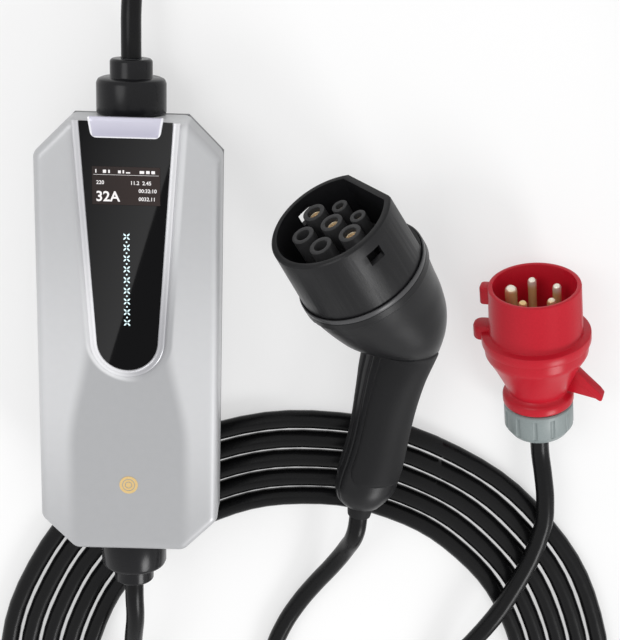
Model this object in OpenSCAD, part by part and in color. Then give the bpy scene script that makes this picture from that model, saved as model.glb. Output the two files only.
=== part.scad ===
// Portable electric car charger: a control box, a coiled charging cable with a
// vehicle connector, and a supply cable with a five pin industrial plug.
// Millimetres. The box lies on its back with its foot on the coiled cable, and
// the origin is on the ground below the middle of the box. X is across the box,
// Y runs towards its supply end and Z is up.

/* [Control box] */
// Width of the box
box_w = 100; // [96:1:120]
// Length of the box without its glands
box_l = 247; // [240:1:280]
// Thickness of the box
box_h = 52; // [50:1:64]
// Side of each cut corner
corner_cut = 19; // [12:1:22]
// Wall of both covers
wall = 2.5; // [2:0.1:3]
// Height of the joint between the covers
seam_h = 27; // [25:0.5:30]
// How far the tapered ends draw in at the back
end_draw = 8; // [4:0.5:12]
// How far the sides draw in at the back
side_draw = 4; // [1:0.5:6]
// Width of the bevel round the front face
face_bevel = 4; // [2:0.5:5]
// How far the coil lifts the foot of the box, in degrees
box_tilt = 3.6; // [3:0.1:4]

/* [Front panel] */
// Half width of the trim at the head of the box
trim_half = 28.7; // [26:0.1:30]
// Radius of the trim round its foot
trim_r = 20.5; // [18:0.1:22]
// Distance from the box centre up to the centre of that round
trim_y = 2.7; // [0:0.1:6]
// Width of the trim band
trim_band = 4; // [3:0.1:5]
// Height of the plateau that carries the panel
plateau_h = 0.6; // [0.4:0.1:1]
// Thickness of the glass panel
glass_t = 1.2; // [1:0.1:2]
// Height of the trim above the plateau
trim_h = 2; // [1.8:0.1:3]
// Width of the display
display_w = 36; // [30:0.5:38]
// Height of the display
display_l = 20.5; // [16:0.5:22]
// Distance from the box centre to the display centre
display_y = 88.8; // [86:0.1:92]
// Number of light motifs
motifs = 9; // [6:1:9]
// Spacing of the light motifs
motif_pitch = 6; // [5.6:0.1:6.2]
// Distance from the box centre to the middle of the lights
motif_y = 37.3; // [35:0.1:40]
// Radius of the gold touch mark
mark_r = 5.2; // [4:0.1:7]
// Distance from the box centre to the touch mark
mark_y = -82.7; // [-86:0.1:-78]

/* [Glands] */
// Radius of the gland body
gland_r = 18.9; // [17:0.1:20]
// Length of the gland body outside the box
gland_l = 19.5; // [16:0.5:24]
// Radius of the gland neck that grips the cable
gland_neck_r = 11.5; // [10:0.1:13]
// Length of that neck
gland_neck_l = 10; // [8:0.5:14]

/* [Cables] */
// Diameter of both cables
cable_d = 11; // [10.4:0.1:11.6]
// Distance from turn to turn in the coil
coil_pitch = 12.6; // [12.2:0.1:12.8]
// Radius of the innermost turn where it crosses below the gun
coil_r = 139.8; // [139:0.1:141]

/* [Vehicle connector] */
// Radius of the nozzle at its mouth
nozzle_r = 35; // [33:0.1:36]
// Length of the nozzle in front of the grip
nozzle_l = 42; // [38:0.5:46]
// Wall of the nozzle
nozzle_wall = 3.4; // [2.6:0.1:3.8]
// Distance from the axis to the flat of the nozzle
nozzle_flat = 28.5; // [27:0.1:30]
// Spacing of the contacts in the middle row
contact_pitch = 17.5; // [16:0.1:18]
// Radius of a power contact's bore
power_bore = 3; // [2.8:0.1:3.1]
// Radius of a signal contact's bore
signal_bore = 1.5; // [1.3:0.1:1.6]
// Angle between the nozzle axis and the grip
grip_angle = 41; // [38:1:44]
// Length of the grip along its axis
grip_l = 100; // [94:1:106]
// Wall of the grip shells
shell_t = 2.6; // [2:0.1:3.2]

/* [Supply plug] */
// Radius of the plug's shroud at its mouth
shroud_r = 26; // [25:0.1:28]
// Depth of the shroud
shroud_l = 34; // [30:0.5:38]
// Wall of the shroud
shroud_wall = 2.8; // [2.2:0.1:3.2]
// Radius of the flange
flange_r = 31; // [30:0.1:34]
// Radius of the circle of pins
pin_circle = 13.5; // [12.5:0.1:14.5]
// Radius of a phase pin
phase_r = 2.5; // [2.2:0.1:2.8]
// Radius of the earth pin
earth_r = 3.5; // [3.2:0.1:3.6]
// Radius of the gland nut
nut_r = 20; // [19:0.1:22]

/* [Hidden] */
$fn = 48;

silver = "#c4c6cb";
black = "#26272a";
red = "#c8283e";
grey = "#7c8a8a";
brass = "#c9a25a";
board_green = "#2f6b4a";
rubber = "#1b1c1e";

// A sliver of play between pieces that only touch
gap = 0.1;
// Small overlap that joins two shapes of one solid
join = 0.5;

// Control box
half_w = box_w / 2;
half_l = box_l / 2;
inner_top = box_h - wall;
plateau_top = box_h + plateau_h;
glass_top = plateau_top + glass_t;
end_inset = 2;
box_rise = (half_l - end_draw - end_inset) * sin(box_tilt);
box_shift = -seam_h * sin(box_tilt);
screw_x = half_w - wall - 5.5;
screw_ys = [-88, 0, 88];
board_t = 1.6;
main_z = 12;
main_w = 72;
main_l = 168;
main_y = -6;
front_z = 42;
front_w = 50;
front_from = -16;
front_to = 106;
standoff_x = main_w / 2 - 5;
front_screw_x = front_w / 2 - 4;
board_end = main_y + main_l / 2;
terminal_y = board_end - 12;
terminal_back_y = main_y - main_l / 2 + 11;
terminal_w = 50;
terminal_l = 12;
terminal_h = 14;
wire_h = 6;
core_r = 1.7;
core_pitch = 9;
relay_w = 17;
relay_l = 29;
relay_h = 20;
relay_gap = 1;
relay_x = -4;
relay_backs = [106, 74];

// Glands: the neck that passes through the box wall
pass_r = 13;
pass_l = 14;
nut_l = 5;
seat_t = 8;
seal_r = 9;
cable_r = cable_d / 2;
cable_fit = 0.1;

// Gun: places are measured back from the mouth along the nozzle axis
gun_turn = [-48.9, -57.4, -6.6];
gun_at = [108.2, 76.6, 60.8];
sleeve_r = 6.4;
signal_sleeve_r = 4.6;
carrier_back = nozzle_l - 2;
carrier_t = 8;
sleeve_back = carrier_back - carrier_t;
socket_back = nozzle_l - 6;
power_rows = [
    [-contact_pitch, 0], [0, 0], [contact_pitch, 0],
    [-contact_pitch / 2, -0.83 * contact_pitch],
    [contact_pitch / 2, -0.83 * contact_pitch]
];
signal_rows = [
    [-contact_pitch / 2, 0.66 * contact_pitch],
    [contact_pitch / 2, 0.66 * contact_pitch]
];
lip_r = nozzle_r + 2.8;
spigot_r = nozzle_r - 2;

// Plug: places are measured back from the mouth along the plug axis
flange_back = shroud_l + 2;
nut_back = flange_back + 56;
plug_len = flange_back + 64;
plug_lean = atan((flange_r - nut_r) / (nut_back - flange_back));
plug_yaw = 8;
key_turn = 160;
plug_at = [223.8, 35.5, flange_r * cos(plug_lean) + flange_back * sin(plug_lean)];
pin_turns = [for (k = [0:4]) key_turn - 72 * k];
// Pins are wider where the carrier holds them
pin_step = 0.6;

// Coil on the ground beside the box
coil_x = 106.5;
coil_y = -254;
coil_in = coil_r - 0.68 * coil_pitch - cable_r - 0.2;
coil_out = coil_r + 4.34 * coil_pitch + cable_r + 0.2;

// Supply cable: from the top gland round the coil to the plug
supply_route = [
    [0, 152.9, 24.5], [0, 164, 23.8], [0, 179, 21], [1, 195, 15.5], [5, 212, 9.5],
    [16, 229, 6], [34, 239, 5.5], [64, 241, 5.5], [143, 241, 5.5], [222, 239, 5.5],
    [250, 229, 5.5], [272, 209, 5.5], [283, 182, 5.5], [287, 150, 5.5], [295, 86, 5.5],
    [303, 22, 5.5], [311, -42, 5.5], [317, -106, 5.5], [320, -170, 5.5], [321, -234, 5.5],
    [320, -262, 6], [316, -288, 9.5], [308, -312, 14.5], [297, -333, 17],
    [280, -352, 17], [256, -366, 17], [228, -371, 17], [201, -364, 17], [180, -346, 16.5],
    [168, -322, 11.5], [166, -296, 6.5], [172, -271, 5.5], [184, -246, 7],
    [214, -199, 17], [228, -175, 17], [245, -126, 17], [245, -108, 17], [242.6, -92, 16]
];
// Charging cable: from the bottom gland down into the middle of the coil
box_lead_route = [
    [0, -152.9, 43.7], [0, -164, 44.4], [0, -180, 42], [-2, -198, 35.5],
    [-4, -217, 26], [-7, -235, 16.5], [-10, -253, 9], [-12, -269, 6]
];
// Charging cable: off the coil's outer turn, over the turns and up to the gun
gun_lead_route = [
    [-22, -399, 17], [2, -412, 17], [30, -416, 17], [56, -408, 17], [77, -391, 17],
    [91, -368, 16], [99, -344, 10], [101, -320, 6], [97, -300, 5.5], [90, -281, 5.5],
    [84, -262, 5.5], [81, -244, 5.5], [83, -225, 5.5], [89, -207, 5.5], [98, -190, 5.8],
    [108, -174, 8.5], [118, -158, 14], [126, -142, 21]
];

// Small shapes
module at_each(places) {
    for (p = places)
        translate(p)
            children();
}
module block(size, at) {
    translate([at[0] - size[0] / 2, at[1] - size[1] / 2, at[2]])
        cube(size);
}
function unit(v) = v / norm(v);
function polar(r, turn) = [r * cos(turn), r * sin(turn)];
// A round rod from one point to another
module rod(from, to, r) {
    d = to - from;
    translate(from)
        rotate([0, acos(d[2] / norm(d)), atan2(d[1], d[0])])
            cylinder(r = r, h = norm(d));
}
// One solid through a list of rings that have the same number of points
module loft(rings) {
    n = len(rings[0]);
    last = len(rings) - 1;
    polyhedron(
        points = [for (ring = rings) each ring],
        faces = concat(
            [[for (j = [0:n - 1]) j]],
            [for (i = [0:last - 1], j = [0:n - 1])
                [i * n + j, (i + 1) * n + j, (i + 1) * n + (j + 1) % n, i * n + (j + 1) % n]],
            [[for (j = [n - 1:-1:0]) last * n + j]]
        ),
        convexity = 6
    );
}
// A tube swept along the points of a route; up keeps its rings from turning
module tube(route, r, sides = 10, up = [0, 0, 1]) {
    last = len(route) - 1;
    loft([
        for (i = [0:last])
            let (
                t = unit(route[min(i + 1, last)] - route[max(i - 1, 0)]),
                s = unit(cross(t, up)),
                u = cross(s, t)
            )
            [for (j = [0:sides - 1])
                route[i] + r * cos(360 * j / sides) * s - r * sin(360 * j / sides) * u]
    ]);
}

// Frames of the three rigid groups
module in_box() {
    translate([0, box_shift, box_rise])
        rotate([-box_tilt, 0, 0])
            children();
}
module in_gun() {
    translate(gun_at)
        rotate(gun_turn)
            children();
}
module in_plug() {
    translate(plug_at)
        rotate([plug_lean - 90, 0, plug_yaw])
            children();
}

// Outline of the box with its four cut corners, drawn in by dx and dy
module octagon(dx = 0, dy = 0) {
    x = half_w - dx;
    y = half_l - dy;
    c = corner_cut;
    polygon([
        [x, c - y], [x, y - c], [x - c, y], [c - x, y],
        [-x, y - c], [-x, c - y], [c - x, -y], [x - c, -y]
    ]);
}
module octagon_slab(z, dx, dy) {
    translate([0, 0, z])
        linear_extrude(0.01)
            octagon(dx, dy);
}
// Outline of the U-shaped panel, drawn in by d
module panel_shape(d = 0, top = half_l - join) {
    r = trim_r - d;
    w = trim_half - d;
    h = top - trim_y;
    lean = atan2(h, w) - acos(r / norm([w, h]));
    union() {
        translate([0, trim_y])
            circle(r = r);
        polygon([
            [r * cos(lean), trim_y + r * sin(lean)], [w, top],
            [-w, top], [-r * cos(lean), trim_y + r * sin(lean)]
        ]);
    }
}
// One light motif: four leaves in a cross and a dot between motifs
module motif(grow = 0) {
    leaf_r = 1.5 + grow;
    for (turn = [45:90:315])
        rotate(turn)
            translate([1.35, 0])
                intersection() {
                    translate([0, 1.1])
                        circle(r = leaf_r);
                    translate([0, -1.1])
                        circle(r = leaf_r);
                }
}
module motif_row(grow = 0) {
    from = motif_y - (motifs - 1) * motif_pitch / 2;
    for (k = [0:motifs - 1])
        translate([0, from + k * motif_pitch])
            motif(grow);
    for (k = [0:motifs - 2])
        translate([0, from + (k + 0.5) * motif_pitch])
            circle(r = 0.45 + grow, $fn = 16);
}
module display_shape(grow = 0) {
    translate([-display_w / 2 - grow, display_y - display_l / 2 - grow])
        square([display_w + 2 * grow, display_l + 2 * grow]);
}
// A round bar from outside one end of the box to depth inside it
module end_bar(sign, r, depth, out = 0) {
    translate([0, sign * (half_l + out), seam_h])
        rotate([sign * 90, 0, 0])
            cylinder(r = r, h = depth + out);
}
module main_corners() {
    for (x = [-standoff_x, standoff_x], y = [main_y - main_l / 2 + 6, main_y + main_l / 2 - 6])
        translate([x, y, 0])
            children();
}
module front_corners() {
    for (x = [-front_screw_x, front_screw_x], y = [front_from + 6, front_to - 6])
        translate([x, y, 0])
            children();
}
module cover_screw_places() {
    for (x = [-screw_x, screw_x], y = screw_ys)
        translate([x, y, 0])
            children();
}

// Control box: covers
module front_cover() color(silver) in_box() difference() {
    union() {
        difference() {
            union() {
                hull() {
                    octagon_slab(seam_h, 0, 0);
                    octagon_slab(box_h - face_bevel, 0, 0);
                    octagon_slab(box_h - 0.01, face_bevel, face_bevel);
                }
                translate([0, 0, box_h - face_bevel])
                    linear_extrude(face_bevel + plateau_h)
                        panel_shape(0);
            }
            hull() {
                octagon_slab(seam_h - 1, wall, wall);
                octagon_slab(inner_top - face_bevel, wall, wall);
                octagon_slab(inner_top, wall + face_bevel, wall + face_bevel);
            }
        }
        intersection() {
            for (sign = [-1, 1])
                end_bar(sign, pass_r + 7, seat_t);
            translate([-half_w, -half_l, seam_h])
                cube([box_w, box_l, inner_top - seam_h]);
        }
        cover_screw_places()
            translate([0, 0, seam_h])
                cylinder(r = 3.8, h = inner_top - seam_h + join);
        front_corners()
            translate([0, 0, front_z + board_t])
                cylinder(r = 3, h = inner_top - front_z - board_t + join);
    }
    for (sign = [-1, 1])
        end_bar(sign, pass_r + gap, seat_t + 1, 1);
    cover_screw_places()
        translate([0, 0, seam_h - 1])
            cylinder(r = 1.55, h = 13);
    front_corners()
        translate([0, 0, front_z])
            cylinder(r = 1.05, h = 6);
    translate([0, 0, inner_top - join])
        linear_extrude(wall + plateau_h + 2 * join)
            display_shape(0.4);
    translate([-3, motif_y - motifs * motif_pitch / 2 - 1, inner_top - join])
        cube([6, motifs * motif_pitch + 2, wall + plateau_h + 2 * join]);
    translate([0, mark_y, box_h - 0.4])
        cylinder(r = mark_r + gap, h = 1);
}
module back_form() {
    hull() {
        octagon_slab(seam_h - 0.01, 0, 0);
        octagon_slab(seam_h - 4, 0, 0);
        octagon_slab(2, side_draw, end_draw);
        octagon_slab(0, side_draw + 1.5, end_draw + end_inset);
    }
}
module back_cover() color("#a9abb0") in_box() difference() {
    union() {
        difference() {
            back_form();
            hull() {
                octagon_slab(seam_h + 1, wall, wall);
                octagon_slab(seam_h - 4, wall, wall);
                octagon_slab(wall, side_draw + wall, end_draw + wall);
            }
        }
        intersection() {
            for (sign = [-1, 1])
                end_bar(sign, pass_r + 7, seat_t);
            back_form();
        }
        cover_screw_places()
            translate([0, 0, 1])
                cylinder(r = 4.4, h = seam_h - 1);
        main_corners()
            translate([0, 0, 1])
                cylinder(r = 3.6, h = main_z - 1);
    }
    for (sign = [-1, 1])
        end_bar(sign, pass_r + gap, seat_t + 1, 1);
    cover_screw_places()
        translate([0, 0, -1]) {
            cylinder(r = 1.9, h = seam_h + 2);
            cylinder(r = 3.2, h = 9);
        }
    main_corners()
        translate([0, 0, 4])
            cylinder(r = 1.3, h = main_z);
}
// A square cord that lies along the joint, inside the walls
module cover_gasket() color(rubber) in_box() difference() {
    translate([0, 0, seam_h - 0.9])
        linear_extrude(1.8)
            difference() {
                octagon(wall + gap, wall + gap);
                octagon(wall + 1, wall + 1);
            }
    for (sign = [-1, 1])
        end_bar(sign, pass_r + 7 + gap, seat_t);
}
module cover_screws() color("#8d9094") in_box() cover_screw_places() {
    difference() {
        translate([0, 0, 5.6])
            cylinder(r = 2.9, h = 2.4);
        translate([0, 0, 5])
            cylinder(r = 1.3, h = 1.8, $fn = 6);
    }
    translate([0, 0, 8 - join])
        cylinder(r = 1.5, h = seam_h + 3);
}

// Control box: what the front shows
module bezel_trim() color("#e4e5e8") in_box()
    translate([0, 0, plateau_top])
        linear_extrude(trim_h)
            difference() {
                panel_shape(0);
                panel_shape(trim_band, half_l + 1);
            }
module glass_panel() color("#0c0d10") in_box()
    translate([0, 0, plateau_top])
        linear_extrude(glass_t)
            difference() {
                panel_shape(trim_band + gap);
                display_shape(gap);
                motif_row(0.05);
            }
module name_plate() color("#dcdbe6") in_box()
    translate([0, 0, glass_top])
        linear_extrude(2.6)
            polygon([
                [-18.1, half_l - 9], [18.1, half_l - 9],
                [20, half_l + 2], [-20, half_l + 2]
            ]);
module display_module() color("#4a3f40") in_box() {
    block([display_w - 1, display_l + 8, inner_top - gap - front_z - board_t],
        [0, display_y, front_z + board_t]);
    translate([0, 0, inner_top - join])
        linear_extrude(glass_top - inner_top + join)
            display_shape(0);
}
module light_guide() color("#a8e6f0") in_box() {
    block([9, motifs * motif_pitch + 6, inner_top - gap - front_z - board_t],
        [0, motif_y, front_z + board_t]);
    block([5.4, motifs * motif_pitch + 1, plateau_top - inner_top + join - gap],
        [0, motif_y, inner_top - join]);
    translate([0, 0, plateau_top - join])
        linear_extrude(glass_top - plateau_top + join)
            motif_row(0);
}
module touch_mark() color("#c79a3c") in_box() difference() {
    translate([0, mark_y, box_h - 0.4])
        cylinder(r = mark_r, h = 0.6);
    for (r = [1.6, 3.2])
        translate([0, mark_y, box_h - 0.1])
            difference() {
                cylinder(r = r + 0.45, h = 1);
                translate([0, 0, -1])
                    cylinder(r = r, h = 3);
            }
}
module touch_sensor() color("#b57a3a") in_box()
    translate([0, mark_y, inner_top - 1])
        cylinder(r = 9, h = 1);

// Control box: boards and what they carry
module front_board() color(board_green) in_box() difference() {
    translate([-front_w / 2, front_from, front_z])
        cube([front_w, front_to - front_from, board_t]);
    front_corners()
        translate([0, 0, front_z - 1])
            cylinder(r = 1.25, h = 4);
}
module main_board() color(board_green) in_box() difference() {
    block([main_w, main_l, board_t], [0, main_y, main_z]);
    main_corners()
        translate([0, 0, main_z - 1])
            cylinder(r = 1.6, h = 4);
}
module board_screws() color("#b9bcc2") in_box() {
    main_corners()
        translate([0, 0, main_z + board_t]) {
            cylinder(r = 2.8, h = 2);
            translate([0, 0, -8])
                cylinder(r = 1.25, h = 8 + join);
        }
    front_corners()
        translate([0, 0, front_z]) {
            translate([0, 0, -1.6])
                cylinder(r = 2.3, h = 1.6);
            translate([0, 0, -join])
                cylinder(r = 1, h = 5.5);
        }
}
// Ribbon that stands between the two boards beside the relays
module board_link() color("#c9ccd2") in_box()
    block([0.8, 20, front_z - main_z - board_t], [22, 20, main_z + board_t]);
module relays() color("#2f3236") in_box()
    for (x = [-1, 1] * (relay_w / 2 + relay_gap), back = relay_backs)
        block([relay_w, relay_l, relay_h],
            [x + relay_x, board_end - back, main_z + board_t]);
module power_supply() color("#d9c27a") in_box() {
    block([32, 28, 22], [-15, board_end - 40, main_z + board_t]);
    block([36, 20, 4], [-15, board_end - 40, main_z + board_t]);
}
module capacitors() color("#2b3550") in_box()
    for (p = [[12, 44], [12, 29], [28, 37]])
        translate([p[0], board_end - p[1], main_z + board_t])
            cylinder(r = 6.2, h = 18);
// A ring core on a foot
module current_sensor() color("#3c3f45") in_box() difference() {
    union() {
        translate([0, -52, seam_h + 2])
            rotate([90, 0, 0])
                cylinder(r = 13, h = 10);
        block([22, 10, 8], [0, -57, main_z + board_t]);
    }
    translate([0, -50, seam_h + 2])
        rotate([90, 0, 0])
            cylinder(r = 7.5, h = 14);
}
// Two blocks, one for each cable; their wire holes face the ends of the box
module terminal_blocks() color("#3a7d5c") in_box()
    for (y = [terminal_y, terminal_back_y])
        difference() {
            block([terminal_w, terminal_l, terminal_h], [0, y, main_z + board_t]);
            for (k = [-2:2]) {
                translate([core_pitch * k, y, main_z + board_t + wire_h])
                    rotate([y > 0 ? -90 : 90, 0, 0])
                        cylinder(r = core_r + 0.2, h = 10);
                translate([core_pitch * k, y, main_z + board_t + terminal_h - 3])
                    cylinder(r = 2, h = 4);
            }
        }
// The sheathed end of a cable in its gland, and its five cores to the block
module box_tail(sign) {
    y_end = sign * (half_l + gland_l + gland_neck_l);
    y_in = sign * (half_l - pass_l - 3);
    y_block = sign > 0 ? terminal_y + 3 : terminal_back_y - 3;
    rod([0, y_in, seam_h], [0, y_end, seam_h], cable_r);
    for (k = [0:4]) {
        a = polar(3.4, 90 + 72 * k);
        start = [a[0], y_in + sign * join, seam_h + a[1]];
        x = core_pitch * [0, -1, -2, 2, 1][k];
        z = main_z + board_t + wire_h;
        tube(
            [start, [start[0], y_in - sign * 2, start[2]],
                [x, y_block + sign * 8, z + start[2] - seam_h], [x, y_block + sign * 4, z],
                [x, y_block, z]],
            core_r, 8
        );
    }
}
module supply_tail() color("#55585e") in_box() box_tail(1);
module charge_tail() color("#55585e") in_box() box_tail(-1);

// Glands: half profiles in [radius, distance from the box end]
module gland(sign) {
    end = gland_l + gland_neck_l;
    translate([0, sign * half_l, seam_h])
        rotate([-90 * sign, 0, 0])
            rotate_extrude()
                polygon([
                    [cable_r + cable_fit, end], [cable_r + cable_fit, 12], [seal_r + gap, 12],
                    [seal_r + gap, -pass_l], [pass_r, -pass_l], [pass_r, 0],
                    [gland_r - 0.8, 0], [gland_r, 1], [gland_r, gland_l - 3],
                    [gland_r - 0.9, gland_l - 0.9], [gland_r - 3, gland_l],
                    [gland_neck_r, gland_l], [gland_neck_r, end - 1.2],
                    [gland_neck_r - 1.2, end]
                ]);
}
module gland_lock(sign) {
    translate([0, sign * (half_l - seat_t), seam_h])
        rotate([90 * sign, 0, 0])
            difference() {
                cylinder(r = pass_r + 4, h = nut_l, $fn = 6);
                translate([0, 0, -1])
                    cylinder(r = pass_r + gap, h = nut_l + 2);
            }
}
module gland_seal(sign) {
    translate([0, sign * half_l, seam_h])
        rotate([-90 * sign, 0, 0])
            rotate_extrude()
                translate([cable_r + cable_fit, -6])
                    square([seal_r - cable_r - cable_fit, 18]);
}
module top_gland() color(black) in_box() gland(1);
module bottom_gland() color(black) in_box() gland(-1);
module top_gland_nut() color("#33363b") in_box() gland_lock(1);
module bottom_gland_nut() color("#33363b") in_box() gland_lock(-1);
module top_gland_seal() color(rubber) in_box() gland_seal(1);
module bottom_gland_seal() color(rubber) in_box() gland_seal(-1);

// Vehicle connector: a section is [outer point, inner point, half side, wall];
// points are [Y, distance back from the mouth]
grip_scale = grip_l / 100;
grip_down = [-sin(grip_angle), cos(grip_angle)];
grip_out = [cos(grip_angle), sin(grip_angle)];
function behind(y, d) = [y, nozzle_l + d];
elbow_in = behind(-18.5, 45);
elbow_out = elbow_in + 35.5 * grip_out;
function bend(a, b, c, q) = (1 - q) * (1 - q) * a + 2 * q * (1 - q) * b + q * q * c;
function round_row(r, d) = [behind(r, d), behind(-r, d), r, shell_t];
body_sections = [
    round_row(lip_r, 0), round_row(lip_r, 4), round_row(nozzle_r + 1.2, 5.5),
    round_row(nozzle_r + 0.7, 11), [behind(34.8, 20), behind(-33.5, 20), 34.8, shell_t],
    [behind(33.5, 33), behind(-30, 31), 34, shell_t]
];
elbow_sides = [33.2, 31.5, 28.5, 25];
elbow_sections = [
    for (k = [1:4])
        [bend(behind(33.5, 33), behind(31, 55), elbow_out + 6 * grip_down, k / 4),
            bend(behind(-30, 31), behind(-26, 40), elbow_in, k / 4),
            elbow_sides[k - 1], shell_t]
];
// Handle: [way along, half side, outer edge, inner edge, part of the wall]
handle_rows = [
    [18, 21, 34.3, -0.5, 1], [32, 18.5, 33.5, -1.2, 1], [46, 17.2, 33, -1.5, 1],
    [60, 16.8, 32.8, -2.5, 1], [72, 16.8, 32.6, -4.5, 1], [82, 16.6, 32, -6.5, 1],
    [91, 15.4, 29.8, -6.5, 1], [97, 12.6, 25, -3.6, 1], [100, 10.4, 22, -0.4, 0.72]
];
handle_sections = [
    for (row = handle_rows)
        let (from = elbow_in + row[0] * grip_scale * grip_down)
            [from + row[2] * grip_out, from + row[3] * grip_out, row[1], row[4] * shell_t]
];
gun_sections = concat(body_sections, elbow_sections, handle_sections);
arc_steps = 12;

// Points of one side's arc of a section, moved outwards by grow
function half_arc(section, side, grow, from = 0, to = 180, steps = arc_steps) =
    let (
        c = (section[0] + section[1]) / 2,
        e = (section[0] - section[1]) / 2,
        stretch = 1 + grow / norm(e),
        a = section[2] + grow
    )
    [for (j = [0:steps])
        let (q = from + (to - from) * j / steps, p = c + stretch * cos(q) * e)
            [side * (gap / 2 + (a - gap / 2) * sin(q)), p[0], -p[1]]];
// A skin between two rows of arcs; flip turns its faces for the mirrored side
module skin(outer, inner, flip) {
    n = len(outer[0]);
    m = len(outer);
    total = n * m;
    function quad(a, b, c, d) = flip ? [[a, c, b], [a, d, c]] : [[a, b, c], [a, c, d]];
    points = concat([for (arc = outer) each arc], [for (arc = inner) each arc]);
    faces = concat(
        [for (i = [0:m - 2], j = [0:n - 2])
            each quad(i * n + j, i * n + j + 1, (i + 1) * n + j + 1, (i + 1) * n + j)],
        [for (i = [0:m - 2], j = [0:n - 2])
            each quad(total + i * n + j, total + (i + 1) * n + j,
                total + (i + 1) * n + j + 1, total + i * n + j + 1)],
        [for (i = [0:m - 2])
            each quad(i * n, (i + 1) * n, total + (i + 1) * n, total + i * n)],
        [for (i = [0:m - 2])
            each quad(i * n + n - 1, total + i * n + n - 1,
                total + (i + 1) * n + n - 1, (i + 1) * n + n - 1)],
        [for (j = [0:n - 2])
            each quad(j, total + j, total + j + 1, j + 1)],
        [for (j = [0:n - 2])
            each quad((m - 1) * n + j, (m - 1) * n + j + 1,
                total + (m - 1) * n + j + 1, total + (m - 1) * n + j)]
    );
    polyhedron(points = points, faces = faces, convexity = 8);
}
// Bosses stand against the back of the handle: [Y, distance back, length]
boss_places = [
    for (row = [handle_rows[2], handle_rows[4]])
        let (p = elbow_in + row[0] * grip_scale * grip_down + 24.5 * grip_out)
            [p[0], p[1], 0.6 * row[1]]
];
module shell(side) difference() {
    union() {
        skin(
            [for (s = gun_sections) half_arc(s, side, 0)],
            [for (s = gun_sections) half_arc(s, side, -s[3])],
            side > 0
        );
        for (b = boss_places)
            translate([side > 0 ? gap / 2 : -b[2], b[0], -b[1]])
                rotate([0, 90, 0])
                    cylinder(r = 4, h = b[2] - gap / 2);
    }
    for (b = boss_places)
        translate([0, b[0], -b[1]])
            rotate([0, side * 90, 0]) {
                translate([0, 0, -1])
                    cylinder(r = side > 0 ? 1.2 : 1.6, h = side > 0 ? 9 : 30);
                if (side < 0)
                    translate([0, 0, 8])
                        cylinder(r = 2.4, h = 30);
            }
}
module left_shell() color("#303135") in_gun() shell(1);
module right_shell() color("#303135") in_gun() shell(-1);
module shell_screws() color("#8d9094") in_gun()
    for (b = boss_places)
        translate([-8, b[0], -b[1]])
            rotate([0, -90, 0]) {
                difference() {
                    cylinder(r = 2.2, h = 1.8);
                    translate([0, 0, 0.8])
                        cylinder(r = 1.1, h = 2, $fn = 6);
                }
                translate([0, 0, -14])
                    cylinder(r = 1.15, h = 14 + join);
            }
// Soft inlay on one side of the handle, from near its back to the finger side
module side_grip(side) {
    first = len(body_sections) + 2;
    rows = [for (k = [first:first + 7]) gun_sections[k]];
    skin(
        [for (s = rows) half_arc(s, side, 0.9, 45, 165, 8)],
        [for (s = rows) half_arc(s, side, gap, 45, 165, 8)],
        side > 0
    );
}
module left_grip() color(rubber) in_gun() side_grip(1);
module right_grip() color(rubber) in_gun() side_grip(-1);

module nozzle() color("#303135") in_gun() difference() {
    union() {
        difference() {
            rotate_extrude()
                polygon([
                    [nozzle_r - nozzle_wall, 0], [nozzle_r - 0.8, 0], [nozzle_r, -0.8],
                    [nozzle_r + 1.5, -nozzle_l], [spigot_r, -nozzle_l],
                    [spigot_r, -nozzle_l - 9], [spigot_r - 3, -nozzle_l - 9],
                    [spigot_r - 3, -carrier_back], [nozzle_r - nozzle_wall, -carrier_back]
                ]);
            translate([-40, nozzle_flat, 4 - nozzle_l])
                cube([80, 20, nozzle_l]);
        }
        intersection() {
            translate([0, 0, 4 - nozzle_l])
                cylinder(r = nozzle_r - 1, h = nozzle_l - 4);
            translate([-40, nozzle_flat - nozzle_wall, -nozzle_l])
                cube([80, nozzle_wall, nozzle_l]);
        }
    }
    for (side = [-1, 1])
        translate([side * nozzle_r - 5, -4.5, -14.7])
            cube([10, 9, 7.4]);
}
module power_sleeves(r, from, to) {
    at_each([for (p = power_rows) [p[0], p[1], from]])
        cylinder(r = r, h = to - from);
}
module signal_sleeves(r, from, to) {
    at_each([for (p = signal_rows) [p[0], p[1], from]])
        cylinder(r = r, h = to - from);
}
module contact_carrier() color("#232428") in_gun() difference() {
    union() {
        intersection() {
            translate([0, 0, -carrier_back])
                cylinder(r = nozzle_r - nozzle_wall - gap, h = carrier_t);
            translate([-40, -40, -carrier_back])
                cube([80, 40 + nozzle_flat - nozzle_wall - gap, carrier_t]);
        }
        power_sleeves(sleeve_r, -sleeve_back - join, -2);
        signal_sleeves(signal_sleeve_r, -sleeve_back - join, -4);
    }
    power_sleeves(power_bore + 0.8, -socket_back, 0);
    power_sleeves(2.7, -nozzle_l, -sleeve_back);
    signal_sleeves(signal_bore + 0.8, -socket_back, 0);
    signal_sleeves(1.7, -nozzle_l, -sleeve_back);
}
tail_back = nozzle_l + 8;
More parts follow.
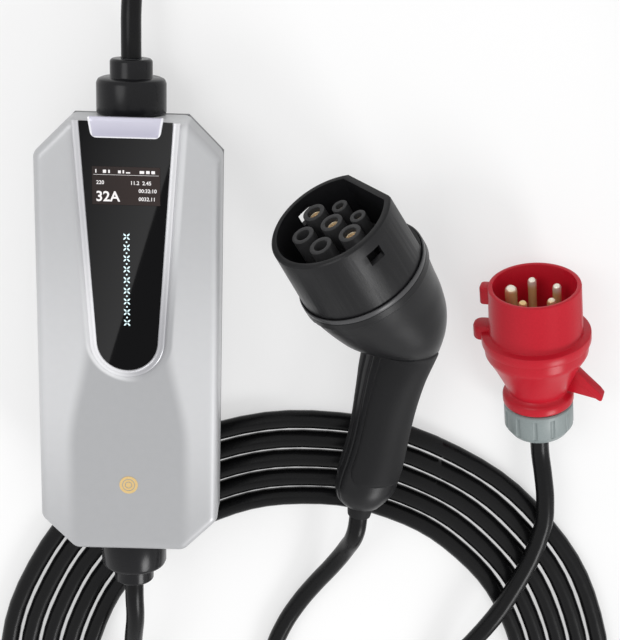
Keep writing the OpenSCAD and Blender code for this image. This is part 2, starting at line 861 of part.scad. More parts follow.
// Sockets of bright metal with solid tails; the two lower phases sit deeper
module power_contacts() color(brass) in_gun()
    for (k = [0:len(power_rows) - 1])
        translate([power_rows[k][0], power_rows[k][1], 0])
            difference() {
                union() {
                    translate([0, 0, -socket_back])
                        cylinder(r = power_bore + 0.7, h = k < 3 ? socket_back - 5 : 16);
                    translate([0, 0, -tail_back])
                        cylinder(r = 2.6, h = tail_back - socket_back + join);
                }
                translate([0, 0, 3 - socket_back])
                    cylinder(r = power_bore, h = socket_back);
            }
module signal_contacts() color(brass) in_gun()
    for (p = signal_rows)
        translate([p[0], p[1], 0])
            difference() {
                union() {
                    translate([0, 0, -socket_back])
                        cylinder(r = signal_bore + 0.7, h = socket_back - 7);
                    translate([0, 0, -tail_back])
                        cylinder(r = 1.6, h = tail_back - socket_back + join);
                }
                translate([0, 0, 3 - socket_back])
                    cylinder(r = signal_bore, h = socket_back);
            }
module collar_ring() color("#55585e") in_gun()
    rotate_extrude()
        translate([nozzle_r + 1.7, -nozzle_l])
            square([1, 3]);

// Boot and cable where they leave the handle
boot_w = 10.8;
boot_from = 90;
boot_to = 108;
boot_l = (boot_to - boot_from) * grip_scale;
function on_grip(s, w) =
    let (p = elbow_in + s * grip_scale * grip_down + w * grip_out)
        [0, p[0], -p[1]];
module along_grip(s) {
    translate(on_grip(s, boot_w))
        rotate([180 - grip_angle, 0, 0])
            children();
}
module gun_boot() color(rubber) in_gun() along_grip(boot_from)
    rotate_extrude()
        polygon([
            [cable_r + cable_fit, 0], [10, 0], [10, 3], [8, 4.5], [8, 11],
            [6.7, boot_l], [cable_r + cable_fit, boot_l]
        ]);
module gun_tail() color("#55585e") in_gun() {
    along_grip(84)
        cylinder(r = cable_r, h = (boot_to - 84) * grip_scale);
    ends = concat(power_rows, signal_rows);
    order = [1, 0, 6, 2, 5, 3, 4];
    for (k = [0:6]) {
        a = polar(3.9, 90 - 360 * k / 7);
        offset_at = [a[0], a[1] * cos(grip_angle), -a[1] * sin(grip_angle)];
        e = ends[order[k]];
        tube(
            [[e[0], e[1], -tail_back], [e[0], e[1], -tail_back - 5],
                [0.45 * e[0], 0.4 * e[1] - 2, -tail_back - 26],
                on_grip(40, boot_w + 4) + offset_at, on_grip(84.5, boot_w) + offset_at],
            1.3, 6, [0, 1, 0]
        );
    }
}

// Supply plug: its places behind the flange are measured from the flange
module behind_flange() {
    translate([0, 0, -flange_back])
        children();
}
carrier_seat = 8;
module plug_shroud() color(red) in_plug() {
    inner = shroud_r - shroud_wall;
    rotate_extrude()
        polygon([
            [inner, -flange_back], [inner, -0.8], [inner + 0.8, 0], [shroud_r - 0.8, 0],
            [shroud_r, -0.8], [shroud_r + 0.4, 6 - flange_back], [flange_r - 1, 6 - flange_back],
            [flange_r, 5 - flange_back], [flange_r, -flange_back]
        ]);
    rotate(key_turn)
        translate([shroud_r - 1.5, -4, -13])
            cube([6.5, 8, 11]);
    rotate(key_turn)
        translate([shroud_r - 1, -6, -flange_back])
            cube([flange_r + 5 - shroud_r, 12, 9]);
}
module plug_body() color(red) in_plug() behind_flange() difference() {
    union() {
        rotate_extrude()
            polygon([
                [23.2, 0], [flange_r - 1.5, 0], [flange_r - 1.5, -7],
                [flange_r - 2.5, -carrier_seat], [17.5, -32], [20, -34], [20.5, -35],
                [20.5, -39], [19.5, -40], [16, -40.2], [16, -54], [12, -54],
                [12, -34], [22, -carrier_seat], [23.2, -carrier_seat]
            ]);
        rotate([90, 0, -20])
            translate([0, 0, -3.5])
                linear_extrude(7)
                    polygon([[22, -16], [36, -30.5], [38, -33.5], [37, -37], [16.5, -32]]);
    }
    rotate_extrude()
        polygon([[12, -44], [12, -34], [21.9, -carrier_seat - 0.2], [0, -carrier_seat - 0.2],
            [0, -44]]);
}
module pin_at(k) {
    rotate(pin_turns[k])
        translate([pin_circle, 0, 0])
            children();
}
function pin_r(k) = k == 0 ? earth_r : phase_r;
module pin_carrier() color("#d8cfd4") in_plug() behind_flange() difference() {
    translate([0, 0, -carrier_seat])
        cylinder(r = shroud_r - shroud_wall - 0.2, h = 10);
    for (k = [0:4])
        pin_at(k)
            translate([0, 0, -carrier_seat - 1])
                cylinder(r = pin_r(k) + pin_step + gap, h = 12);
    translate([0, 0, -1])
        cylinder(r = 6, h = 4);
}
// A pin with a round tip, and a wider tail with a wire hole and a screw hole
module pin(k, tip) {
    r = pin_r(k);
    back = -flange_back - carrier_seat;
    pin_at(k) difference() {
        union() {
            rotate_extrude()
                polygon([
                    [0, back - join], [r + pin_step, back - join], [r + pin_step, back + 10],
                    [r, back + 10], [r, tip - 0.6 * r],
                    [0.7 * r, tip - 0.15 * r], [0, tip]
                ]);
            translate([0, 0, back - 10])
                cylinder(r = 3.7, h = 10);
        }
        translate([0, 0, back - 11])
            cylinder(r = 1.7, h = 4.5);
        translate([0, 0, back - 3.4])
            rotate([0, 90, 0])
                cylinder(r = 1.3, h = 8);
    }
}
module phase_pins() color("#c2c4c8") in_plug()
    for (k = [1:4])
        pin(k, -3);
module earth_pin() color("#c2c4c8") in_plug() pin(0, -1.5);
module terminal_screws() color("#8d9094") in_plug() behind_flange()
    for (k = [0:4])
        pin_at(k)
            translate([0.4, 0, -carrier_seat - 3.4])
                rotate([0, 90, 0])
                    cylinder(r = 1.2, h = 4.4);
module cord_grip() color(rubber) in_plug() behind_flange()
    translate([0, 0, -56])
        rotate_extrude()
            translate([cable_r + cable_fit, 0])
                square([12 - gap - cable_r - cable_fit, 12]);
module gland_nut() color(grey) in_plug() behind_flange() difference() {
    rotate_extrude()
        polygon([
            [16.1, -41.2], [nut_r - 0.8, -41.2], [nut_r, -42], [nut_r, -56], [17, -60.5],
            [12, -64], [cable_r + 0.7, -64], [cable_r + 0.7, -56], [16.1, -56]
        ]);
    for (k = [0:11])
        rotate(30 * k + 15)
            translate([nut_r + 0.6, 0, -57])
                cylinder(r = 1.6, h = 13, $fn = 12);
}
module plug_tail() color("#55585e") in_plug() behind_flange() {
    translate([0, 0, -64])
        cylinder(r = cable_r, h = 25);
    for (k = [0:4]) {
        inner = polar(3.4, pin_turns[k]);
        outer = polar(pin_circle, pin_turns[k]);
        tube(
            [concat(inner, -39 - join), concat(inner, -36),
                concat(0.45 * inner + 0.55 * outer, -29), concat(outer, -21),
                concat(outer, -15.5)],
            1.5, 8, concat(polar(1, pin_turns[k] + 90), 0)
        );
    }
}

// Loose cables
function turn_x(p, a) = [p[0], p[1] * cos(a) - p[2] * sin(a), p[1] * sin(a) + p[2] * cos(a)];
function turn_y(p, a) = [p[0] * cos(a) + p[2] * sin(a), p[1], p[2] * cos(a) - p[0] * sin(a)];
function turn_z(p, a) = [p[0] * cos(a) - p[1] * sin(a), p[0] * sin(a) + p[1] * cos(a), p[2]];
function gun_place(p) =
    gun_at + turn_z(turn_y(turn_x(p, gun_turn[0]), gun_turn[1]), gun_turn[2]);
function plug_place(p) = plug_at + turn_z(turn_x(p, plug_lean - 90), plug_yaw);
module supply_cable() color(black)
    tube(
        concat(supply_route, [
            plug_place([0, 0, -plug_len - 15]), plug_place([0, 0, -plug_len - gap])
        ]),
        cable_r
    );
module charge_lead_box() color(black) tube(box_lead_route, cable_r);
module charge_lead_gun() color(black)
    tube(
        concat(gun_lead_route, [
            gun_place(on_grip(boot_to + 12, boot_w)),
            gun_place(on_grip(boot_to, boot_w)) + [0, -gap, 0]
        ]),
        cable_r
    );
// Turns of the charging cable side by side, as one flat ring with round edges
module charge_coil() color(black)
    translate([coil_x, coil_y, 0])
        rotate_extrude($fn = 96)
            polygon([
                [coil_in + 2, 0], [coil_out - 2, 0], [coil_out, 2], [coil_out, cable_d - 2],
                [coil_out - 2, cable_d + 0.2], [coil_in + 2, cable_d + 0.2],
                [coil_in, cable_d - 2], [coil_in, 2]
            ]);

front_cover();
back_cover();
cover_gasket();
bezel_trim();
glass_panel();
name_plate();
display_module();
light_guide();
touch_mark();
touch_sensor();
front_board();
main_board();
board_screws();
board_link();
relays();
power_supply();
capacitors();
current_sensor();
terminal_blocks();
supply_tail();
charge_tail();
top_gland();
bottom_gland();
top_gland_nut();
bottom_gland_nut();
top_gland_seal();
bottom_gland_seal();
cover_screws();
nozzle();
contact_carrier();
power_contacts();
signal_contacts();
collar_ring();
left_shell();
right_shell();
left_grip();
right_grip();
shell_screws();
gun_boot();
gun_tail();
plug_shroud();
plug_body();
pin_carrier();
phase_pins();
earth_pin();
terminal_screws();
cord_grip();
gland_nut();
plug_tail();
supply_cable();
charge_lead_box();
charge_coil();
charge_lead_gun();
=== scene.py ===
import bmesh
import bpy
import numpy as np
from mathutils import Matrix


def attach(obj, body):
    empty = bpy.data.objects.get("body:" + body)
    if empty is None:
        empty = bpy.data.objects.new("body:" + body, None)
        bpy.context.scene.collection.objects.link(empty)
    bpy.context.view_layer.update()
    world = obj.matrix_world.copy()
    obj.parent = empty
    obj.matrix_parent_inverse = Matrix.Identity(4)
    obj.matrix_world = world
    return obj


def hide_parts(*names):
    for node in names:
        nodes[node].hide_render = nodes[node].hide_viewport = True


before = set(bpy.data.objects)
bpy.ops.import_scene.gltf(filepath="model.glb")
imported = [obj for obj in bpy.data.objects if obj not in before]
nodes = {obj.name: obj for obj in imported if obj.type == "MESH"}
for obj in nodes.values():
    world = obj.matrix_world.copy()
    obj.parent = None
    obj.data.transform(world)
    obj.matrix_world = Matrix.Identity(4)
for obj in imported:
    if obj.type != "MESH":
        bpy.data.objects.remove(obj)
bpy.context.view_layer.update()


# The view: the charger lies on the ground and is seen from above, 20 degrees
# off the vertical, with its supply end at the top of the picture.
def added(name, data):
    """A new object in the scene that shows this data."""
    piece = bpy.data.objects.new(name, data)
    bpy.context.scene.collection.objects.link(piece)
    return piece


def standing(side, up, back, place):
    """The matrix of an object whose X, Y and Z point along three directions, at a place."""
    pose = np.eye(4)
    pose[:3, 0], pose[:3, 1], pose[:3, 2], pose[:3, 3] = side, up, back, place
    return Matrix(pose.tolist())


turn, lean, reach = np.radians(1.65), np.radians(20.0), 0.850
target = np.array([0.1001, -0.0024, 0.0])
across = np.array([np.cos(turn), np.sin(turn), 0.0])
away = np.array([-np.sin(turn) * np.sin(lean), np.cos(turn) * np.sin(lean), np.cos(lean)])
eye = target + reach * away
picture_px, focal_px, sensor_mm = 620.0, 1445.4, 36.0
lens_box = bpy.data.cameras.new("view")
lens_box.sensor_fit, lens_box.sensor_width = "HORIZONTAL", sensor_mm
lens_box.lens = focal_px * sensor_mm / picture_px
lens_box.clip_start = 0.01
camera = added("view", lens_box)
camera.matrix_world = standing(across, np.cross(away, across), away, eye)
bpy.context.scene.camera = camera
bpy.context.scene.view_settings.view_transform = "Standard"

# The charging cable: one sheath of black rubber from the control box, coiled
# flat on the ground in five turns, then over them and up into the connector.
cable_r = 5.5
coil_x, coil_y, coil_r, coil_pitch, coil_from = 106.5, -254, 139.8, 12.6, 450


def coil_turns(from_deg, to_deg, height, per_turn=16):
    """Points of a flat spiral: its radius is coil_r at coil_from, and grows by one pitch a turn."""
    a = np.linspace(from_deg, to_deg, int(round((to_deg - from_deg) / 360 * per_turn)) + 1)
    r = coil_r + coil_pitch * (a - coil_from) / 360
    a = np.radians(a)
    return np.stack([coil_x + r * np.cos(a), coil_y + r * np.sin(a), np.full(a.shape, height)], 1)


def laid_cable(name, points):
    """An open curve through the points, given in millimetres, with a round section."""
    line = bpy.data.curves.new(name, "CURVE")
    line.dimensions = "3D"
    line.bevel_depth = 1.0
    line.bevel_resolution = 5
    line.resolution_u = 5
    line.use_fill_caps = True
    spline = line.splines.new("BEZIER")
    spline.bezier_points.add(len(points) - 1)
    spline.bezier_points.foreach_set("co", (np.asarray(points) / 1000).ravel())
    spline.bezier_points.foreach_set("radius", np.full(len(points), cable_r / 1000))
    for point in spline.bezier_points:
        point.handle_left_type = point.handle_right_type = "AUTO"
    return added(name, line)


def turned(angles):
    """The turn of a rigid piece about X, then Y, then Z, in degrees, as one matrix."""
    x, y, z = np.radians(angles)
    about_x = np.array([[1, 0, 0], [0, np.cos(x), -np.sin(x)], [0, np.sin(x), np.cos(x)]])
    about_y = np.array([[np.cos(y), 0, np.sin(y)], [0, 1, 0], [-np.sin(y), 0, np.cos(y)]])
    about_z = np.array([[np.cos(z), -np.sin(z), 0], [np.sin(z), np.cos(z), 0], [0, 0, 1]])
    return about_z @ about_y @ about_x


gun_turn, gun_at = turned((-48.9, -57.4, -6.6)), np.array([108.2, 76.6, 60.8])


def in_gun(points):
    """Points given in the connector's own frame, its mouth at zero and facing +Z."""
    return np.asarray(points, float) @ gun_turn.T + gun_at


grip_slope = np.radians(41.0)
grip_down = np.array([-np.sin(grip_slope), np.cos(grip_slope)])
grip_out = np.array([np.cos(grip_slope), np.sin(grip_slope)])
elbow_in = np.array([-18.5, 87.0])


def on_grip(along, out):
    """A place on the handle's middle plane: so far along it and so far out of it."""
    y, back = elbow_in + along * grip_down + out * grip_out
    return np.array([0.0, y, -back])


# The route in millimetres: out of the box to the ground, round the coil, up on its
# turns, over them, and into the handle.
box_lead = [
    (0, -152.9, 43.7), (0, -164, 44.4), (0, -180, 42), (-2, -198, 35.5),
    (-4, -217, 26), (-7, -235, 16.5), (-10, -253, 9), (-12.8, -271, 5.8),
    (-14.6, -291, 5.5),
]
gun_lead = [
    (-22, -399, 17), (2, -412, 17), (30, -416, 17), (56, -408, 17), (77, -391, 17),
    (91, -368, 16), (99, -344, 10), (101, -320, 6), (97, -300, 5.5), (90, -281, 5.5),
    (84, -262, 5.5), (81, -244, 5.5), (83, -225, 5.5), (89, -207, 5.5), (98, -190, 5.8),
    (108, -174, 8.5), (118, -158, 14), (126, -142, 21),
]
climb = coil_turns(2009, 2021, 0, 60)
climb[:, 2] = np.linspace(7, 14, len(climb))
charge_points = np.vstack([
    box_lead, coil_turns(207, 1998, cable_r), climb, gun_lead,
    [in_gun(on_grip(along, 10.8)) for along in (120, 108, 84, 60, 36)],
])


class Wire:
    """One output of a shader tree; arithmetic on it adds a Math node."""

    def __init__(self, wiring, socket):
        self.wiring, self.socket = wiring, socket

    def output(self, name):
        """Another output of the same node."""
        return Wire(self.wiring, self.socket.node.outputs[name])

    def math(self, operation, *others):
        """What a Math node makes of this wire and the others."""
        return self.wiring.node("Math", {"operation": operation}, self, *others)

    def __add__(self, other):
        return self.math("ADD", other)

    def __sub__(self, other):
        return self.math("SUBTRACT", other)

    def __rsub__(self, other):
        return self.wiring.node("Math", {"operation": "SUBTRACT"}, other, self)

    def __mul__(self, other):
        return self.math("MULTIPLY", other)

    __radd__, __rmul__ = __add__, __mul__


class Wiring:
    """The shader tree of a material or of the world; one method adds every node."""

    def __init__(self, tree):
        self.tree = tree

    def feed(self, socket, value):
        """Links a wire to the socket, or sets a plain value on it."""
        if isinstance(value, Wire):
            self.tree.links.new(value.socket, socket)
        else:
            socket.default_value = value

    def node(self, kind, settings, *values, output=0, **named):
        """A node of this kind: its settings first, then what its sockets are fed."""
        made = self.tree.nodes.new("ShaderNode" + kind)
        for key, value in settings.items():
            setattr(made, key, value)
        for socket, value in zip(made.inputs, values):
            self.feed(socket, value)
        for key, value in named.items():
            self.feed(made.inputs[key], value)
        return Wire(self, made.outputs[output])

    def seen(self):
        """1 for the rays that see a surface, straight or by glass and gloss; 0 for light."""
        rays = self.node("LightPath", {})
        seen = rays.output("Is Camera Ray")
        for kind in ("Is Glossy Ray", "Is Transmission Ray"):
            seen = seen.math("MAXIMUM", rays.output(kind))
        return seen


class Paint(Wiring):
    """A procedural material around one Principled node, placed by object coordinates."""

    def __init__(self, name, roughness, metallic=0.0, specular=0.5):
        self.material = bpy.data.materials.new(name)
        self.material.use_nodes = True
        super().__init__(self.material.node_tree)
        self.shader = self.tree.nodes["Principled BSDF"]
        self.feed(self.shader.inputs["Roughness"], roughness)
        self.feed(self.shader.inputs["Metallic"], metallic)
        self.feed(self.shader.inputs["Specular IOR Level"], specular)
        self.place = self.node("TexCoord", {}).output("Object")

    def axis(self, name):
        """How far a spot lies along X, Y or Z, in metres."""
        return self.node("SeparateXYZ", {}, self.place).output(name)

    def noise(self, scale, detail=3.0):
        """Soft spots around 0.5, about so many to a metre."""
        return self.node("TexNoise", {}, Vector=self.place, Scale=scale, Detail=detail)

    def band(self, value, low, high):
        """0 below low and 1 above high, eased between them."""
        return self.node("MapRange", {"interpolation_type": "SMOOTHSTEP"}, value, low, high)

    def blend(self, factor, first, second):
        """From the first colour, where the factor is 0, to the second, where it is 1."""
        mixer = self.node("Mix", {"data_type": "RGBA"}, Factor=factor).socket.node
        colours = [socket for socket in mixer.inputs if socket.type == "RGBA"]
        for socket, value in zip(colours, (first, second)):
            self.feed(socket, value if isinstance(value, Wire) else (*value, 1.0))
        return Wire(self, next(socket for socket in mixer.outputs if socket.type == "RGBA"))

    def colour(self, wire):
        """The surface's own colour."""
        self.feed(self.shader.inputs["Base Color"], wire)

    def dull(self, wire):
        """How rough the surface is: 0 for a mirror and 1 for chalk."""
        self.feed(self.shader.inputs["Roughness"], wire)

    def relief(self, height, distance, strength):
        """Fine bumps: the height is a wire and the distance is in metres."""
        bump = self.node("Bump", {}, Strength=strength, Distance=distance, Height=height)
        self.feed(self.shader.inputs["Normal"], bump)

    def glow(self, colour, strength):
        """Light that the surface gives off by itself."""
        light = colour if isinstance(colour, Wire) else (*colour, 1.0)
        self.feed(self.shader.inputs["Emission Color"], light)
        self.feed(self.shader.inputs["Emission Strength"], strength)

    def lifted(self, share):
        """For rays that see it, a share of the surface is plain white, shadow and all."""
        surface, white = Wire(self, self.shader.outputs[0]), self.node("Emission", {})
        mix = self.node("MixShader", {}, self.seen() * share, surface, white)
        self.feed(self.tree.nodes["Material Output"].inputs["Surface"], mix)

    def on(self, *pieces):
        """Gives the pieces this material alone."""
        for piece in pieces:
            piece.data.materials.clear()
            piece.data.materials.append(self.material)


def grained(name, dark, light, roughness, scale=900.0, **settings):
    """A plain moulded or cast surface: two near colours and a fine grain."""
    paint = Paint(name, roughness, **settings)
    paint.colour(paint.blend(paint.noise(scale), dark, light))
    paint.dull(paint.noise(scale / 6) * 0.12 + (roughness - 0.06))
    return paint


def fitted(piece, paint, slot, *stands_for):
    """A finished piece gets its body and its paint, and the nodes it stands for are hidden; the slot is
    not used.
    """
    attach(piece, "root")
    if stands_for:
        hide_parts(*stands_for)
    paint.on(piece)


rubber = grained("cable_rubber", (0.0040, 0.0040, 0.0045), (0.0080, 0.0080, 0.0085), 0.27, specular=0.14)
charge_cable = laid_cable("charging_cable", charge_points)
fitted(charge_cable, rubber, "cable_black", "charge_lead_box", "charge_coil", "charge_lead_gun")

# The supply cable: the same sheath from the other end of the box, round the
# outside of the coil, over its turns and up to the plug, which rests on the
# ground with its flange and its nut.
flange_r, flange_back, nut_r, nut_back, plug_yaw = 31, 36, 20, 92, 8
plug_slope = np.arctan((flange_r - nut_r) / (nut_back - flange_back))
plug_turn = turned((np.degrees(plug_slope) - 90, 0, plug_yaw))
plug_at = np.array([223.8, 35.5, flange_r * np.cos(plug_slope) + flange_back * np.sin(plug_slope)])


def in_plug(points):
    """Points given in the plug's own frame, its mouth at zero and facing +Z."""
    return np.asarray(points, float) @ plug_turn.T + plug_at


supply_points = np.vstack([
    [
        (0, 152.9, 24.5), (0, 164, 23.8), (0, 179, 21), (1, 195, 15.5), (5, 212, 9.5),
        (16, 229, 6), (34, 239, 5.5), (64, 241, 5.5), (143, 241, 5.5), (222, 239, 5.5),
        (250, 229, 5.5), (272, 209, 5.5), (283, 182, 5.5), (287, 150, 5.5), (295, 86, 5.5),
        (303, 22, 5.5), (311, -42, 5.5), (317, -106, 5.5), (320, -170, 5.5), (321, -234, 5.5),
        (320, -262, 6), (316, -288, 9.5), (308, -312, 14.5), (297, -333, 17),
        (280, -352, 17), (256, -366, 17), (228, -371, 17), (201, -364, 17), (180, -346, 16.5),
        (168, -322, 11.5), (166, -296, 6.5), (172, -271, 5.5), (184, -246, 7),
        (214, -199, 17), (228, -175, 17), (245, -126, 17), (245, -108, 17), (242.6, -92, 16),
    ],
    [in_plug((0, 0, -115)), in_plug((0, 0, -100.1))],
])
supply_cable = laid_cable("mains_cable", supply_points)
fitted(supply_cable, rubber, "cable_black", "supply_cable")

# The studio: a white floor that keeps the shadow, an even white surround, a weak
# soft lamp up on the left and a stronger one low on the right.
world = bpy.data.worlds.new("studio")
bpy.context.scene.world = world
world.use_nodes = True
sky = Wiring(world.node_tree)
surround = sky.tree.nodes["Background"]
surround.inputs["Color"].default_value = (1, 1, 1, 1)
as_light, as_seen = 0.74, 1.0
sky.feed(surround.inputs["Strength"], sky.node("MapRange", {}, sky.seen(), 0.0, 1.0, as_light, as_seen))


def soft_lamp(name, place, size, watts):
    """A round lamp at a place, turned so that it faces the middle of the charger."""
    light = bpy.data.lights.new(name, "AREA")
    light.shape, light.size, light.energy = "DISK", size, watts
    back = np.array(place) - np.array((0.10, -0.02, 0.0))
    back = back / np.linalg.norm(back)
    side = np.cross((0, 1, 0), back)
    side = side / np.linalg.norm(side)
    lamp = added(name, light)
    lamp.matrix_world = standing(side, np.cross(back, side), back, place)
    return lamp


lamps = [
    soft_lamp("key", (-1.30, 0.80, 2.20), 1.4, 15.0),
    soft_lamp("side", (2.40, -2.56, 2.20), 1.5, 66.0),
]


crisp_from = 35.0


def mesh_piece(name, points, faces, sharp=crisp_from):
    """A mesh from points in millimetres; edges sharper than the angle stay crisp."""
    mesh = bpy.data.meshes.new(name)
    mesh.from_pydata((np.asarray(points, float) / 1000).tolist(), [], faces)
    mesh.validate()
    mesh.shade_smooth()
    mesh.set_sharp_from_angle(angle=np.radians(sharp))
    return added(name + "_form" if name in nodes else name, mesh)


far, one_face = 9000, [(0, 1, 2, 3)]
floor = mesh_piece("floor", [(-far, -far, 0), (far, -far, 0), (far, far, 0), (-far, far, 0)], one_face)
floor_paint = Paint("floor_paint", 0.9, specular=0.0)
floor_paint.colour(floor_paint.blend(floor_paint.noise(3.0), (0.93, 0.93, 0.93), (0.95, 0.95, 0.95)))
from_middle = floor_paint.node("VectorMath", {"operation": "LENGTH"}, floor_paint.place, output=1)
floor_paint.lifted(floor_paint.band(from_middle, 0.6, 2.4) * 0.45 + 0.55)
floor_paint.on(floor)

# The control box: two covers of moulded plastic with boards between them. It lies
# on its back cover, with its foot lifted by the coil.
box_lean, box_at = turned((-3.6, 0, 0)), (0, -1.695, 7.127)


def in_box(points):
    """Points given in the control box's own frame, which leans on its back cover."""
    return np.asarray(points, float) @ box_lean.T + box_at


def rings(name, grid, sharp=crisp_from):
    """A closed solid from rows of closed loops; flat caps shut the first and the last."""
    grid = np.asarray(grid, float)
    m, n = grid.shape[:2]
    k = np.arange(m * n).reshape(m, n)
    right = np.roll(k, -1, 1)
    walls = np.stack([k[:-1], right[:-1], right[1:], k[1:]], 2).reshape(-1, 4).tolist()
    caps = [k[0, ::-1].tolist(), k[-1].tolist()]
    return mesh_piece(name, in_box(grid.reshape(-1, 3)), walls + caps, sharp)


def rounded(corners, radii, steps=6):
    """The outline through convex corners, each replaced by an arc of its radius."""
    corners, radii = np.asarray(corners, float), np.broadcast_to(radii, len(corners))
    to_last = np.roll(corners, 1, 0) - corners
    to_next = np.roll(corners, -1, 0) - corners
    to_last /= np.linalg.norm(to_last, axis=1, keepdims=True)
    to_next /= np.linalg.norm(to_next, axis=1, keepdims=True)
    half = np.arccos(np.clip((to_last * to_next).sum(1), -1, 1)) / 2
    middle = to_last + to_next
    middle /= np.linalg.norm(middle, axis=1, keepdims=True)
    centre = corners + middle * (radii / np.sin(half))[:, None]
    first = np.arctan2(*(corners + to_last * (radii / np.tan(half))[:, None] - centre).T[::-1])
    last = np.arctan2(*(corners + to_next * (radii / np.tan(half))[:, None] - centre).T[::-1])
    sweep = (last - first + np.pi) % (2 * np.pi) - np.pi
    angle = first[:, None] + sweep[:, None] * np.linspace(0, 1, steps)
    arc = np.stack([np.cos(angle), np.sin(angle)], 2) * radii[:, None, None]
    return (centre[:, None] + arc).reshape(-1, 2)


# Front cover: one shell of silver-painted plastic, long and eight-sided, with a
# softly rounded edge; it closes the box from above on the back cover's rim.
half_w, half_l, corner_cut, wall = 50.0, 123.5, 19.0, 2.5
seam_h, box_h, edge = 27.0, 52.0, 5.0


def eight_sided(inset, corner):
    """The box's outline: a rectangle with its corners cut at 45 degrees, all of it drawn in
    by the inset, which shortens each cut by 2 - sqrt(2), or 0.586, times as much."""
    x, y = half_w - inset, half_l - inset
    cut = corner_cut - 0.586 * inset
    return rounded([(x, cut - y), (x, y - cut), (x - cut, y), (cut - x, y),
                    (-x, y - cut), (-x, cut - y), (cut - x, -y), (x - cut, -y)], corner)


def cover_loop(inset, height, corner):
    """The outline as a loop of points at one height of the box."""
    return np.insert(eight_sided(inset, corner), 2, height, axis=1)


# Rows of inset, height and corner radius: down the inside, over the rim, up the
# outside and round the edge to the face.
turns = np.linspace(0, np.pi / 2, 7)
drawn_in, risen = edge * (1 - np.cos(turns)), edge * np.sin(turns)
cover_rows = [
    (wall + edge, box_h - wall, 1.0), (wall, box_h - wall - edge, 2.0), (wall, seam_h, 2.0),
    (0.4, seam_h, 5.0), (0, seam_h + 0.4, 5.0), (0, seam_h + 10, 6.0),
    *zip(drawn_in, box_h - edge + risen, 6.0 - 0.6 * drawn_in),
    (edge + 2.0, box_h, 2.5), (edge + 4.0, box_h, 2.0),
]
front_cover = rings("front_cover", [cover_loop(*row) for row in cover_rows], sharp=40.0)


def trim_painted_light(paint):
    """Painted light and shade for the panel's frame, by corner: 1 at the lower left and 0.1 at the lower
    right, then 0.4 at the upper left and 0.74 at the upper right."""
    up = paint.band(paint.axis("Y"), 0.005, 0.080)
    right = paint.band(paint.axis("X"), -0.010, 0.010)
    return 1 - up * 0.6 + (up * 1.24 - 0.9) * right


# Painted light and shade on the face: painted shade down the middle, widening towards the foot, and
# painted light on the flanks, lightest at the waist; the flakes are the paint's own grain.
silver = Paint("silver_paint", 0.42, metallic=0.25, specular=0.35)
aside = silver.axis("X").math("ABSOLUTE")
along = silver.axis("Y")
flank_painted_light = silver.band(aside + silver.band(along, -0.060, 0.010) * 0.011, 0.0285, 0.0365)
waist = silver.band(along, -0.130, -0.030) * (1 - silver.band(along, -0.020, 0.090) * 0.8)
flakes = silver.noise(240.0)
face_grain_and_painted_light = silver.blend(
    flakes * 0.10 + flank_painted_light * (waist * 0.75 + 0.18), (0.400, 0.404, 0.415), (0.620, 0.624, 0.636))
# A soft band of the cover along the trim is painted with the trim's painted light and shade, which
# widens the trim and lightens the shadow beside it: past the U that the trim follows, a round foot with
# two sides that spread towards the head.
foot_y, foot_r, side_slope = 0.0043, 0.0205, 0.0677
past_foot = along - foot_y
below, above = past_foot.math("MINIMUM", 0.0), past_foot.math("MAXIMUM", 0.0)
past_trim = (aside * aside + below * below).math("SQRT") - above * side_slope - foot_r
wider = silver.band(silver.axis("X"), -0.010, 0.010) * 0.0014
trim_band_painted_light = 1 - silver.band(past_trim - wider, 0.0016, 0.0034)
trim_silver_painted_light = silver.blend(trim_painted_light(silver), (0.36, 0.363, 0.375), (0.74, 0.744, 0.756))
silver.colour(silver.blend(trim_band_painted_light, face_grain_and_painted_light, trim_silver_painted_light))
silver.dull(silver.noise(300.0) * 0.06 + 0.36)
fitted(front_cover, silver, "silver_cover", "front_cover")

# Back cover: the same outline in grey plastic, drawn in towards the ground; the
# screws come up through it. A black gasket shows as a thin line along the seam.
back_grey = grained("back_plastic", (0.15, 0.152, 0.158), (0.19, 0.192, 0.198), 0.5)
back_grey.on(nodes["back_cover"])
gasket_black = grained("gasket_rubber", (0.010, 0.010, 0.010), (0.020, 0.020, 0.020), 0.7)
gasket_black.on(nodes["cover_gasket"], nodes["top_gland_seal"], nodes["bottom_gland_seal"])
steel = grained("screw_steel", (0.45, 0.45, 0.46), (0.60, 0.60, 0.61), 0.32, metallic=1.0)
steel.on(nodes["cover_screws"], nodes["board_screws"], nodes["shell_screws"], nodes["terminal_screws"])

# Bezel trim: a bright band of rounded section, bent round the foot of the black
# panel and open at the top; clipped into the front cover.
trim_half, trim_r, trim_y = 28.7, 20.5, 2.7


def panel_path(inset, top, steps=40):
    """From the top left, down, round the foot and up again, at an inset from the edge."""
    r, w, h = trim_r - inset, trim_half - inset, top - trim_y
    lean = np.arctan2(h, w) - np.arccos(r / np.hypot(w, h))
    turn = np.linspace(np.pi - lean, 2 * np.pi + lean, steps)
    foot = np.stack([r * np.cos(turn), trim_y + r * np.sin(turn)], 1)
    down = np.linspace((-w, top), foot[0], 12, endpoint=False)
    return np.vstack([down, foot, down[::-1] * (-1, 1)])


